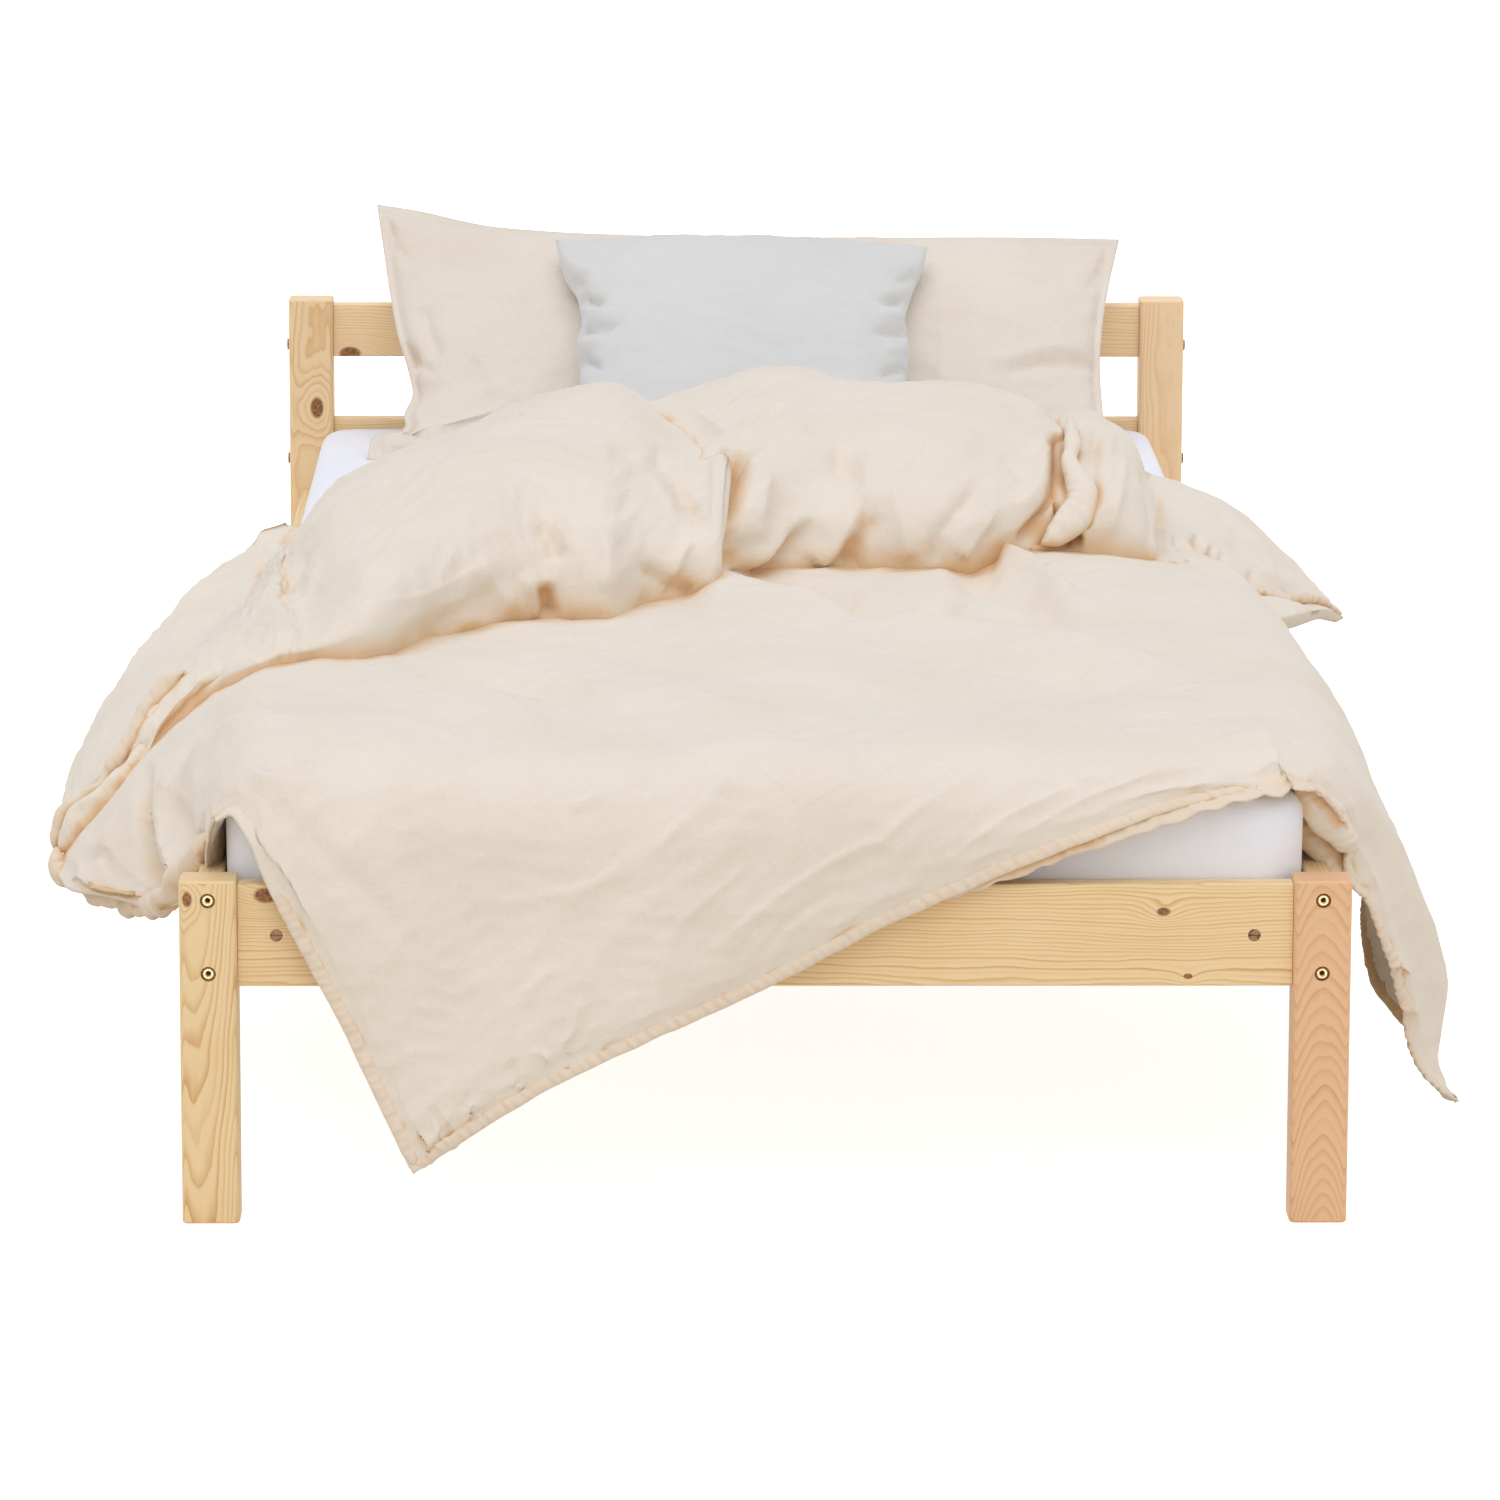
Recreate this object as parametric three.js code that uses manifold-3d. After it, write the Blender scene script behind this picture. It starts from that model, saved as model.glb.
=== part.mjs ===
// A low single bed in solid pine. Four posts, a foot rail, two head rails and two side rails are
// held by socket-head bolts in barrel nuts. Slats lie on ledges along the side rails and carry a
// mattress in a fitted sheet. A duvet is folded back over the foot half, a pillow leans on the
// head rails and a small square cushion leans on the pillow.
//
// Millimetres, +Z up, head end towards +Y. The origin is on the floor, at the middle of the frame.

import * as THREE from "three";
import { mergeVertices } from "three/addons/utils/BufferGeometryUtils.js";
import Module from "manifold-3d";

const wasm = await Module();
wasm.setup();

// Mattress and fitted sheet
const MATTRESS_WIDTH = 900;
const MATTRESS_LENGTH = 2000;
const MATTRESS_HEIGHT = 120;
const MATTRESS_CORNER = 40;
const MATTRESS_EDGE = 16;
const MATTRESS_PLAY = 1;
const SHEET_THICKNESS = 1.2;
const SHEET_HEM = 30;

// Posts and rails
const POST_WIDTH = 48;
const POST_DEPTH = 40;
const POST_ROUND = 4.5;
const POST_END_ROUND = 1.6;
const FOOT_POST_HEIGHT = 292;
const HEAD_POST_HEIGHT = 496;
const BOARD_THICKNESS = 22;
const BOARD_ROUND = 2;
const RAIL_HEIGHT = 87;
const RAIL_BELOW_POST = 4;
const HEAD_RAIL_HEIGHT = 57;
const HEAD_RAIL_BELOW_POST = 6;
const HEAD_RAIL_SPACE = 68;

// Slatted base
const LEDGE_WIDTH = 20;
const LEDGE_HEIGHT = 18;
const LEDGE_NUT_CLEARANCE = 8;
const SLAT_COUNT = 13;
const SLAT_WIDTH = 68;
const SLAT_THICKNESS = 17;
const SLAT_END_PLAY = 3;
const SLAT_ROUND = 3;
const TAPE_WIDTH = 24;
const TAPE_THICKNESS = 1;
const TAPE_INSET = 150;

// Bolts and barrel nuts
const BOLT_DIAMETER = 6;
const BOLT_HEAD_DIAMETER = 10;
const BOLT_HEAD_HEIGHT = 6;
const BOLT_HEAD_CHAMFER = 0.8;
const BOLT_SUNK = 2;
const BOLT_PAST_NUT = 8;
const BOLT_SPREAD = 62;
const HEAD_BOLT_RISE = 12;
const SOCKET_ACROSS_FLATS = 5;
const SOCKET_DEPTH = 3;
const COUNTERBORE_DIAMETER = 13;
const HOLE_PLAY = 0.5;
const NUT_DIAMETER = 10;
const NUT_LENGTH = 16;
const NUT_SUNK = 1;
const NUT_SETBACK = 32;
const NUT_SLOT = 1.6;

// Pillow and cushion
const PILLOW_WIDTH = 800;
const PILLOW_HEIGHT = 372;
const PILLOW_THICKNESS = 128;
const PILLOW_FOOT_DISTANCE = 226;
const PILLOW_REST_DEPTH = 34;
const CUSHION_SIZE = 388;
const CUSHION_THICKNESS = 136;
const CUSHION_FOOT_DISTANCE = 168;
const CUSHION_REACH = 0.62;
const CUSHION_REST_DEPTH = 14;
const CUSHION_LIFT = 10;
const SEAM_THICKNESS = 4;

// Duvet. Places are [across the bed from its middle, along it from the mattress's foot end]; a reach or a
// hem is [along, how far the side hangs out past the mattress, or down from its top].
const DUVET_THICKNESS = 38;
const DUVET_EDGE_THICKNESS = 14;
const ROLL_RISE = 122;
const CREASE = [[-450, 400], [-300, 480], [-160, 605], [10, 820], [130, 895], [300, 925], [450, 985]];
const ROLL_END = [[-450, 1190], [-300, 1320], [-120, 1410], [60, 1475], [200, 1480], [450, 1400]];
const ROLL_CREST = 0.53;
const ROLL_FULLNESS = 0.42;
const ROLL_LEFT_FALL = 0.62;
const ROLL_RIGHT_FALL = 0.95;
const LOBE_VALLEY_X = -20;
const LOBE_VALLEY_DEPTH = 0.1;
const FRONT_EDGE_THICKNESS = 28;
const FRONT_CORNER_X = -290;
const FRONT_CORNER_DROP = 296;
const FRONT_HEM_X = 400;
const FRONT_SWING = 43;
const LEFT_REACH = [[0, 14], [70, 70], [220, 148], [420, 170], [770, 146], [970, 100], [1298, 6]];
const LEFT_HEM = [[0, 40], [70, 105], [220, 142], [420, 125], [770, 76], [970, 42], [1298, 6]];
const RIGHT_REACH = [[0, 12], [118, 148], [320, 138], [700, 118], [1200, 158], [1410, 30]];
const RIGHT_HEM = [[0, 14], [118, 287], [320, 305], [600, 305], [850, 220], [1200, 108], [1410, 12]];
const LEFT_FALL = { bow: 3, sink: 0.58 };
const RIGHT_FALL = { bow: 2.2, sink: 1.5 };
const INNER_FALL = { bow: 1.45, sink: 1.35 };

// Clearances
const WOOD_GAP = 0.3;
const CLOTH_GAP = 0.5;

// Places worked out from the sizes
const innerWidth = MATTRESS_WIDTH + 2 * MATTRESS_PLAY;
const innerLength = MATTRESS_LENGTH + 2 * MATTRESS_PLAY;
const postX = (innerWidth + BOARD_THICKNESS) / 2;
const postY = (innerLength + BOARD_THICKNESS) / 2;
const railTop = FOOT_POST_HEIGHT - RAIL_BELOW_POST;
const railBottom = railTop - RAIL_HEIGHT;
const upperRailTop = HEAD_POST_HEIGHT - HEAD_RAIL_BELOW_POST;
const upperRailBottom = upperRailTop - HEAD_RAIL_HEIGHT;
const lowerRailBottom = upperRailBottom - HEAD_RAIL_SPACE - HEAD_RAIL_HEIGHT;
const slatBottom = railBottom + LEDGE_HEIGHT;
const mattressBottom = slatBottom + SLAT_THICKNESS;
const mattressTop = mattressBottom + MATTRESS_HEIGHT;
const mattressFoot = -MATTRESS_LENGTH / 2;
const crossRailLength = 2 * postX - POST_WIDTH;
const sideRailLength = 2 * postY - POST_DEPTH;
const headRailFace = postY - BOARD_THICKNESS / 2;
const sideBoltHeights = [-1, 1].map((k) => railBottom + (RAIL_HEIGHT + k * BOLT_SPREAD) / 2);
const footBoltHeight = railBottom + RAIL_HEIGHT / 2;
const headBoltHeights = [lowerRailBottom + HEAD_BOLT_RISE, upperRailBottom + HEAD_BOLT_RISE];
const counterboreDepth = BOLT_SUNK + BOLT_HEAD_HEIGHT;

const { lerp, smoothstep, clamp } = THREE.MathUtils;
const right = new THREE.Vector3(1, 0, 0);
const back = new THREE.Vector3(0, 1, 0);
const up = new THREE.Vector3(0, 0, 1);

const pine = { color: 0xe6cfa0, roughness: 0.55, metalness: 0 };
const slatWood = { color: 0xe9d9b6, roughness: 0.7, metalness: 0 };
const zinc = { color: 0xd8b45a, roughness: 0.35, metalness: 0.9 };
const webbing = { color: 0xe8e6e0, roughness: 0.9, metalness: 0 };
const ticking = { color: 0xf1f0ec, roughness: 0.9, metalness: 0 };
const whiteSheet = { color: 0xf2f2f5, roughness: 0.9, metalness: 0 };
const duvetCotton = { color: 0xe9ddcb, roughness: 0.92, metalness: 0 };
const pillowCotton = { color: 0xe4dbcf, roughness: 0.92, metalness: 0 };
const cushionCotton = { color: 0xdcddde, roughness: 0.9, metalness: 0 };

const bed = new THREE.Group();

// Adds one piece of the bed
function addPiece(name, geometry, finish) {
  const mesh = new THREE.Mesh(geometry, new THREE.MeshStandardMaterial(finish));
  mesh.name = name;
  bed.add(mesh);
  return mesh;
}

// Solids and geometry

function signedVolume(positions, index) {
  const [a, b, c] = [new THREE.Vector3(), new THREE.Vector3(), new THREE.Vector3()];
  let sum = 0;
  for (let i = 0; i < index.length; i += 3) {
    a.fromArray(positions, 3 * index[i]);
    b.fromArray(positions, 3 * index[i + 1]);
    c.fromArray(positions, 3 * index[i + 2]);
    sum += a.dot(b.cross(c)) / 6;
  }
  return sum;
}

// Turns a closed geometry into a solid that faces out
function solidOf(geometry) {
  const bare = geometry.clone();
  bare.deleteAttribute("normal");
  bare.deleteAttribute("uv");
  const merged = mergeVertices(bare, 1e-3);
  const positions = new Float32Array(merged.attributes.position.array);
  const index = new Uint32Array(merged.index.array);
  if (signedVolume(positions, index) < 0) {
    for (let i = 0; i < index.length; i += 3) {
      [index[i + 1], index[i + 2]] = [index[i + 2], index[i + 1]];
    }
  }
  return new wasm.Manifold(new wasm.Mesh({ numProp: 3, vertProperties: positions, triVerts: index }));
}

function geometryOf(solid) {
  const mesh = solid.getMesh();
  const geometry = new THREE.BufferGeometry();
  geometry.setAttribute("position", new THREE.BufferAttribute(mesh.vertProperties, 3));
  geometry.setIndex(new THREE.BufferAttribute(mesh.triVerts, 1));
  geometry.computeVertexNormals();
  return geometry;
}

function cut(solid, tools) {
  return tools.reduce((rest, tool) => rest.subtract(tool), solid);
}

function boxBetween(low, high) {
  const size = high.map((value, i) => value - low[i]);
  const box = new THREE.BoxGeometry(...size);
  return box.translate(...low.map((value, i) => value + size[i] / 2));
}

function roundedRectangle(width, height, radius) {
  const shape = new THREE.Shape();
  const [x, y] = [width / 2 - radius, height / 2 - radius];
  shape.absarc(x, y, radius, 0, Math.PI / 2);
  shape.absarc(-x, y, radius, Math.PI / 2, Math.PI);
  shape.absarc(-x, -y, radius, Math.PI, 1.5 * Math.PI);
  shape.absarc(x, -y, radius, 1.5 * Math.PI, 2 * Math.PI);
  return shape;
}

// A bar along Z with eased long edges and ends, centred on the origin
function bar(width, depth, length, radius, endRound = 0) {
  const geometry = new THREE.ExtrudeGeometry(roundedRectangle(width, depth, radius), {
    depth: length - 2 * endRound,
    curveSegments: endRound > 0 ? 2 : 1,
    bevelEnabled: endRound > 0,
    bevelThickness: endRound,
    bevelSize: endRound,
    bevelOffset: -endRound,
    bevelSegments: 1,
  });
  return geometry.translate(0, 0, endRound - length / 2);
}

// A turned solid along Z from [radius, height] pairs that start and end on the axis
function turned(profile, segments) {
  const points = profile.map(([radius, height]) => new THREE.Vector2(radius, height));
  return new THREE.LatheGeometry(points, segments).rotateX(Math.PI / 2);
}

function place(geometry, origin, axis, across = null) {
  const matrix = new THREE.Matrix4();
  if (across) {
    matrix.makeBasis(across, new THREE.Vector3().crossVectors(axis, across), axis);
  } else {
    matrix.makeRotationFromQuaternion(new THREE.Quaternion().setFromUnitVectors(up, axis));
  }
  matrix.setPosition(origin);
  return geometry.clone().applyMatrix4(matrix);
}

// Bolt and barrel nut, both along +Z from their outer end

function boltGeometry(grip) {
  const [head, shank] = [BOLT_HEAD_DIAMETER / 2, BOLT_DIAMETER / 2];
  const end = BOLT_HEAD_HEIGHT + grip;
  const body = turned([
    [0, 0], [head - BOLT_HEAD_CHAMFER, 0], [head, BOLT_HEAD_CHAMFER], [head, BOLT_HEAD_HEIGHT],
    [shank, BOLT_HEAD_HEIGHT], [shank, end], [0, end],
  ], 12);
  const socketRadius = SOCKET_ACROSS_FLATS / Math.sqrt(3);
  const socket = turned([[0, -1], [socketRadius, -1], [socketRadius, SOCKET_DEPTH], [0, SOCKET_DEPTH]], 6);
  return geometryOf(solidOf(body).subtract(solidOf(socket)));
}

function nutGeometry() {
  const radius = NUT_DIAMETER / 2;
  const body = turned([[0, 0], [radius, 0], [radius, NUT_LENGTH], [0, NUT_LENGTH]], 12);
  const thread = new THREE.CylinderGeometry(BOLT_DIAMETER / 2 + WOOD_GAP, BOLT_DIAMETER / 2 + WOOD_GAP,
    2 * NUT_DIAMETER, 10);
  thread.rotateZ(Math.PI / 2).translate(0, 0, BOARD_THICKNESS / 2 - NUT_SUNK);
  const slot = boxBetween([-NUT_DIAMETER, -NUT_SLOT / 2, -1], [NUT_DIAMETER, NUT_SLOT / 2, NUT_SLOT]);
  return geometryOf(cut(solidOf(body), [solidOf(thread), solidOf(slot)]));
}

// Hole through a post with a counterbore for the bolt head, along +Z from the post's face
function postHole(length) {
  const [bore, wide] = [BOLT_DIAMETER / 2 + HOLE_PLAY, COUNTERBORE_DIAMETER / 2];
  return turned([
    [0, -1], [wide, -1], [wide, counterboreDepth], [bore, counterboreDepth], [bore, length + 1],
    [0, length + 1],
  ], 14);
}

// Hole in a rail's end for the bolt, along +Z from the end
function endHole() {
  const radius = BOLT_DIAMETER / 2 + HOLE_PLAY;
  const depth = NUT_SETBACK + BOLT_PAST_NUT + 3;
  return turned([[0, -1], [radius, -1], [radius, depth], [0, depth]], 10);
}

// Hole in a rail's face for the barrel nut, along +Z from the face
function nutHole() {
  const radius = NUT_DIAMETER / 2 + WOOD_GAP;
  const depth = NUT_SUNK + NUT_LENGTH + WOOD_GAP;
  return turned([[0, -1], [radius, -1], [radius, depth], [0, depth]], 14);
}

// Frame

// A bolted joint: where the bolt enters the post, which way it runs, and the nut's face and way in.
// The post cut, both rail cuts, the bolt and the nut all come from it.
function joint(name, post, height, boltAxis, nutAxis) {
  const across = Math.abs(boltAxis.x) > 0.5 ? POST_WIDTH : POST_DEPTH;
  const centre = new THREE.Vector3(post.x, post.y, height);
  const entry = centre.clone().addScaledVector(boltAxis, -across / 2);
  const railEnd = centre.clone().addScaledVector(boltAxis, across / 2 + WOOD_GAP);
  const nutFace = railEnd.clone().addScaledVector(boltAxis, NUT_SETBACK);
  nutFace.addScaledVector(nutAxis, -BOARD_THICKNESS / 2);
  return { name, across, entry, railEnd, nutFace, boltAxis, nutAxis };
}

const posts = [
  { name: "foot_post_left", x: -postX, y: -postY, height: FOOT_POST_HEIGHT },
  { name: "foot_post_right", x: postX, y: -postY, height: FOOT_POST_HEIGHT },
  { name: "head_post_left", x: -postX, y: postY, height: HEAD_POST_HEIGHT },
  { name: "head_post_right", x: postX, y: postY, height: HEAD_POST_HEIGHT },
];

// All joints of one post, each kept under the rail that it holds
function jointsOf(post) {
  const atHead = post.y > 0;
  const inward = right.clone().multiplyScalar(-Math.sign(post.x));
  const lengthwise = back.clone().multiplyScalar(-Math.sign(post.y));
  const outward = inward.clone().negate();
  const side = post.x < 0 ? "left" : "right";
  const end = atHead ? "head" : "foot";
  const crossRails = atHead
    ? [["head_rail_lower", headBoltHeights[0]], ["head_rail_upper", headBoltHeights[1]]]
    : [["foot_rail", footBoltHeight]];
  const nutIn = atHead ? back.clone().negate() : back;
  const levels = ["lower", "upper"];
  const sideJoints = sideBoltHeights.map((height, i) => ({
    rail: `side_rail_${side}`,
    ...joint(`${end}_${side}_side_${levels[i]}`, post, height, lengthwise, outward),
  }));
  const crossJoints = crossRails.map(([rail, height], i) => ({
    rail,
    ...joint(`${end}_${side}_cross${atHead ? `_${levels[i]}` : ""}`, post, height, inward, nutIn),
  }));
  return [...sideJoints, ...crossJoints];
}

const joints = posts.flatMap((post) => {
  post.joints = jointsOf(post);
  return post.joints;
});

function addPosts() {
  for (const post of posts) {
    const blank = bar(POST_WIDTH, POST_DEPTH, post.height, POST_ROUND, POST_END_ROUND);
    blank.translate(post.x, post.y, post.height / 2);
    const holes = post.joints.map((j) => solidOf(place(postHole(j.across), j.entry, j.boltAxis)));
    addPiece(post.name, geometryOf(cut(solidOf(blank), holes)), pine);
  }
}

function addRail(name, blank) {
  const own = joints.filter((j) => j.rail === name);
  const holes = own.flatMap((j) => [
    solidOf(place(endHole(), j.railEnd, j.boltAxis)),
    solidOf(place(nutHole(), j.nutFace, j.nutAxis)),
  ]);
  addPiece(name, geometryOf(cut(solidOf(blank), holes)), pine);
}

function addRails() {
  const crossRail = (height) => bar(height, BOARD_THICKNESS, crossRailLength - 2 * WOOD_GAP, BOARD_ROUND)
    .rotateY(Math.PI / 2);
  addRail("foot_rail", crossRail(RAIL_HEIGHT).translate(0, -postY, footBoltHeight));
  const headMiddle = HEAD_RAIL_HEIGHT / 2;
  addRail("head_rail_lower", crossRail(HEAD_RAIL_HEIGHT).translate(0, postY, lowerRailBottom + headMiddle));
  addRail("head_rail_upper", crossRail(HEAD_RAIL_HEIGHT).translate(0, postY, upperRailBottom + headMiddle));
  for (const [side, sign] of [["left", -1], ["right", 1]]) {
    const rail = bar(BOARD_THICKNESS, RAIL_HEIGHT, sideRailLength - 2 * WOOD_GAP, BOARD_ROUND);
    rail.rotateX(Math.PI / 2).translate(sign * postX, 0, railBottom + RAIL_HEIGHT / 2);
    addRail(`side_rail_${side}`, rail);
  }
}

function addFasteners() {
  const nut = nutGeometry();
  for (const j of joints) {
    const grip = j.across - counterboreDepth + NUT_SETBACK + BOLT_PAST_NUT;
    const bolt = addPiece(`bolt_${j.name}`, boltGeometry(grip), zinc);
    bolt.position.copy(j.entry).addScaledVector(j.boltAxis, BOLT_SUNK - WOOD_GAP);
    bolt.quaternion.setFromUnitVectors(up, j.boltAxis);
    const barrel = addPiece(`barrel_nut_${j.name}`, nut.clone(), zinc);
    const turn = new THREE.Matrix4().makeBasis(
      j.boltAxis, new THREE.Vector3().crossVectors(j.nutAxis, j.boltAxis), j.nutAxis);
    barrel.position.copy(j.nutFace).addScaledVector(j.nutAxis, NUT_SUNK);
    barrel.quaternion.setFromRotationMatrix(turn);
  }
}

// Slatted base

function addSlats() {
  const nutReach = NUT_SETBACK + NUT_DIAMETER / 2 + LEDGE_NUT_CLEARANCE;
  const ledgeLength = sideRailLength - 2 * nutReach;
  for (const [side, sign] of [["left", -1], ["right", 1]]) {
    const ledge = bar(LEDGE_WIDTH, LEDGE_HEIGHT - WOOD_GAP, ledgeLength, BOARD_ROUND).rotateX(Math.PI / 2);
    const mesh = addPiece(`slat_ledge_${side}`, ledge, slatWood);
    mesh.position.x = sign * (innerWidth / 2 - WOOD_GAP - LEDGE_WIDTH / 2);
    mesh.position.z = railBottom + (LEDGE_HEIGHT - WOOD_GAP) / 2;
  }
  const slatLength = innerWidth - 2 * SLAT_END_PLAY;
  const pitch = (ledgeLength - SLAT_WIDTH) / (SLAT_COUNT - 1);
  const slat = bar(SLAT_THICKNESS - WOOD_GAP, SLAT_WIDTH, slatLength, SLAT_ROUND).rotateY(Math.PI / 2);
  for (let i = 0; i < SLAT_COUNT; i += 1) {
    const mesh = addPiece(`slat_${String(i + 1).padStart(2, "0")}`, slat.clone(), slatWood);
    mesh.position.y = (i - (SLAT_COUNT - 1) / 2) * pitch;
    mesh.position.z = slatBottom + (SLAT_THICKNESS - WOOD_GAP) / 2;
  }
  for (const [side, sign] of [["left", -1], ["right", 1]]) {
    const tape = new THREE.BoxGeometry(TAPE_WIDTH, ledgeLength, TAPE_THICKNESS);
    const mesh = addPiece(`slat_tape_${side}`, tape, webbing);
    mesh.position.x = sign * (slatLength / 2 - TAPE_INSET);
    mesh.position.z = slatBottom - WOOD_GAP - TAPE_THICKNESS / 2;
  }
}

// Mattress and fitted sheet

// The mattress block, grown by a skin on its sides and top
function mattressBlock(skin, below = 0) {
  const [width, length] = [MATTRESS_WIDTH + 2 * skin, MATTRESS_LENGTH + 2 * skin];
  const shape = roundedRectangle(width, length, MATTRESS_CORNER + skin);
  const edge = MATTRESS_EDGE + skin;
  const height = MATTRESS_HEIGHT + skin + below;
  const block = new THREE.ExtrudeGeometry(shape, {
    depth: height - 2 * edge,
    curveSegments: 3,
    bevelThickness: edge,
    bevelSize: edge,
    bevelOffset: -edge,
    bevelSegments: 2,
  });
  return block.translate(0, 0, mattressBottom - below + edge);
}

function addMattress() {
  const sheetSkin = SHEET_THICKNESS + WOOD_GAP;
  const core = mattressBlock(-sheetSkin, -WOOD_GAP);
  addPiece("mattress", geometryOf(solidOf(core)), ticking);
  const skirt = MATTRESS_LENGTH;
  const hem = mattressBottom + SHEET_HEM;
  const sheet = cut(solidOf(mattressBlock(0)), [
    solidOf(mattressBlock(-SHEET_THICKNESS, SHEET_HEM)),
    solidOf(boxBetween([-skirt, -skirt, 0], [skirt, skirt, hem])),
  ]);
  addPiece("fitted_sheet", geometryOf(sheet), whiteSheet);
}

// Soft forms

// A closed body between two grids of points, joined round their rim
function gridBody(columns, rows, outer, inner) {
  const positions = [];
  for (const point of [outer, inner]) {
    for (let j = 0; j <= rows; j += 1) {
      for (let i = 0; i <= columns; i += 1) {
        positions.push(...point(i / columns, j / rows));
      }
    }
  }
  const sheetSize = (columns + 1) * (rows + 1);
  const at = (i, j, sheet) => sheet * sheetSize + j * (columns + 1) + i;
  const index = [];
  const quad = (a, b, c, d) => index.push(a, b, c, a, c, d);
  for (let j = 0; j < rows; j += 1) {
    for (let i = 0; i < columns; i += 1) {
      quad(at(i, j, 0), at(i + 1, j, 0), at(i + 1, j + 1, 0), at(i, j + 1, 0));
      quad(at(i, j, 1), at(i, j + 1, 1), at(i + 1, j + 1, 1), at(i + 1, j, 1));
    }
  }
  for (let i = 0; i < columns; i += 1) {
    quad(at(i, 0, 1), at(i + 1, 0, 1), at(i + 1, 0, 0), at(i, 0, 0));
    quad(at(i, rows, 0), at(i + 1, rows, 0), at(i + 1, rows, 1), at(i, rows, 1));
  }
  for (let j = 0; j < rows; j += 1) {
    quad(at(0, j, 0), at(0, j + 1, 0), at(0, j + 1, 1), at(0, j, 1));
    quad(at(columns, j, 1), at(columns, j + 1, 1), at(columns, j + 1, 0), at(columns, j, 0));
  }
  const geometry = new THREE.BufferGeometry();
  geometry.setAttribute("position", new THREE.Float32BufferAttribute(positions, 3));
  geometry.setIndex(index);
  return geometry;
}

// Value at a place, on a smooth curve through a few [place, value] points
function through(points, place) {
  const last = points.length - 1;
  const inside = clamp(place, points[0][0], points[last][0]);
  const found = points.findIndex(([at], i) => i > 0 && inside <= at);
  const k = found > 0 ? found : last;
  const slope = (i) => {
    const [low, high] = [points[Math.max(i - 1, 0)], points[Math.min(i + 1, last)]];
    return (high[1] - low[1]) / (high[0] - low[0]);
  };
  const [[x0, y0], [x1, y1]] = [points[k - 1], points[k]];
  const span = x1 - x0;
  const t = (inside - x0) / span;
  const blend = t * t * (3 - 2 * t);
  const start = slope(k - 1) * span * t * (1 - t) * (1 - t);
  const finish = slope(k) * span * t * t * (1 - t);
  return y0 + (y1 - y0) * blend + start - finish;
}

// A stuffed cushion, crowned, with its sides drawn in between the corners.
// X is across it, Y up its face from its lower edge, and Z out of its front.
function stuffed(width, height, thickness, grow) {
  const drawIn = 0.035;
  const fullness = (u, v) => Math.pow((1 - Math.abs(u) ** 2.6) * (1 - Math.abs(v) ** 2.6), 0.62);
  const face = (sign) => (s, t) => {
    const [u, v] = [2 * s - 1, 2 * t - 1];
    const half = SEAM_THICKNESS / 2 + (thickness - SEAM_THICKNESS) / 2 * fullness(u, v) + grow;
    const x = u * (width / 2 + grow) * (1 - drawIn * (1 - v * v));
    const y = height / 2 + v * (height / 2 + grow) * (1 - drawIn * (1 - u * u));
    return [x, y, sign * half];
  };
  const columns = Math.round(width / 36);
  const rows = Math.round(height / 32);
  return gridBody(columns, rows, face(1), face(-1));
}

// Leans a cushion back from its lower edge by an angle
function lean(geometry, foot, angle) {
  return geometry.rotateX(angle).translate(0, foot.y, foot.z);
}

const pillowFoot = { y: headRailFace - PILLOW_FOOT_DISTANCE, z: mattressTop + SEAM_THICKNESS };
const pillowRise = upperRailTop - pillowFoot.z;
const pillowLean = Math.atan2(pillowRise, PILLOW_FOOT_DISTANCE)
  + Math.asin(clamp(PILLOW_REST_DEPTH / Math.hypot(pillowRise, PILLOW_FOOT_DISTANCE), 0, 0.9));

const cushionFoot = { y: pillowFoot.y - CUSHION_FOOT_DISTANCE, z: mattressTop + CUSHION_LIFT };
const restAlong = CUSHION_REACH * PILLOW_HEIGHT;
const restOut = PILLOW_THICKNESS / 2 + CUSHION_REST_DEPTH;
const restY = pillowFoot.y + restAlong * Math.cos(pillowLean) - restOut * Math.sin(pillowLean);
const restZ = pillowFoot.z + restAlong * Math.sin(pillowLean) + restOut * Math.cos(pillowLean);
const cushionLean = Math.atan2(restZ - cushionFoot.z, restY - cushionFoot.y);

// Room taken by the frame and the made-up mattress, which soft pieces are cut clear of
function bedRoom() {
  const [x, y] = [postX + POST_WIDTH / 2 + CLOTH_GAP, postY + POST_DEPTH / 2 + CLOTH_GAP];
  return [
    solidOf(mattressBlock(CLOTH_GAP)),
    solidOf(boxBetween([-x, -y, 0], [x, y, FOOT_POST_HEIGHT + CLOTH_GAP])),
  ];
}

function headboardRoom() {
  const halfRail = postX - POST_WIDTH / 2;
  const half = BOARD_THICKNESS / 2 + CLOTH_GAP;
  const railRoom = boxBetween([-halfRail, postY - half, 0], [halfRail, postY + half, upperRailTop + CLOTH_GAP]);
  const room = [solidOf(railRoom)];
  for (const sign of [-1, 1]) {
    const [x, y] = [POST_WIDTH / 2 + CLOTH_GAP, POST_DEPTH / 2 + CLOTH_GAP];
    const post = boxBetween([-x, postY - y, 0], [x, postY + y, HEAD_POST_HEIGHT + CLOTH_GAP]);
    room.push(solidOf(post.translate(sign * postX, 0, 0)));
  }
  return room;
}

function pillowForm(grow) {
  const form = stuffed(PILLOW_WIDTH, PILLOW_HEIGHT, PILLOW_THICKNESS, grow);
  return solidOf(lean(form, pillowFoot, pillowLean));
}

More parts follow.
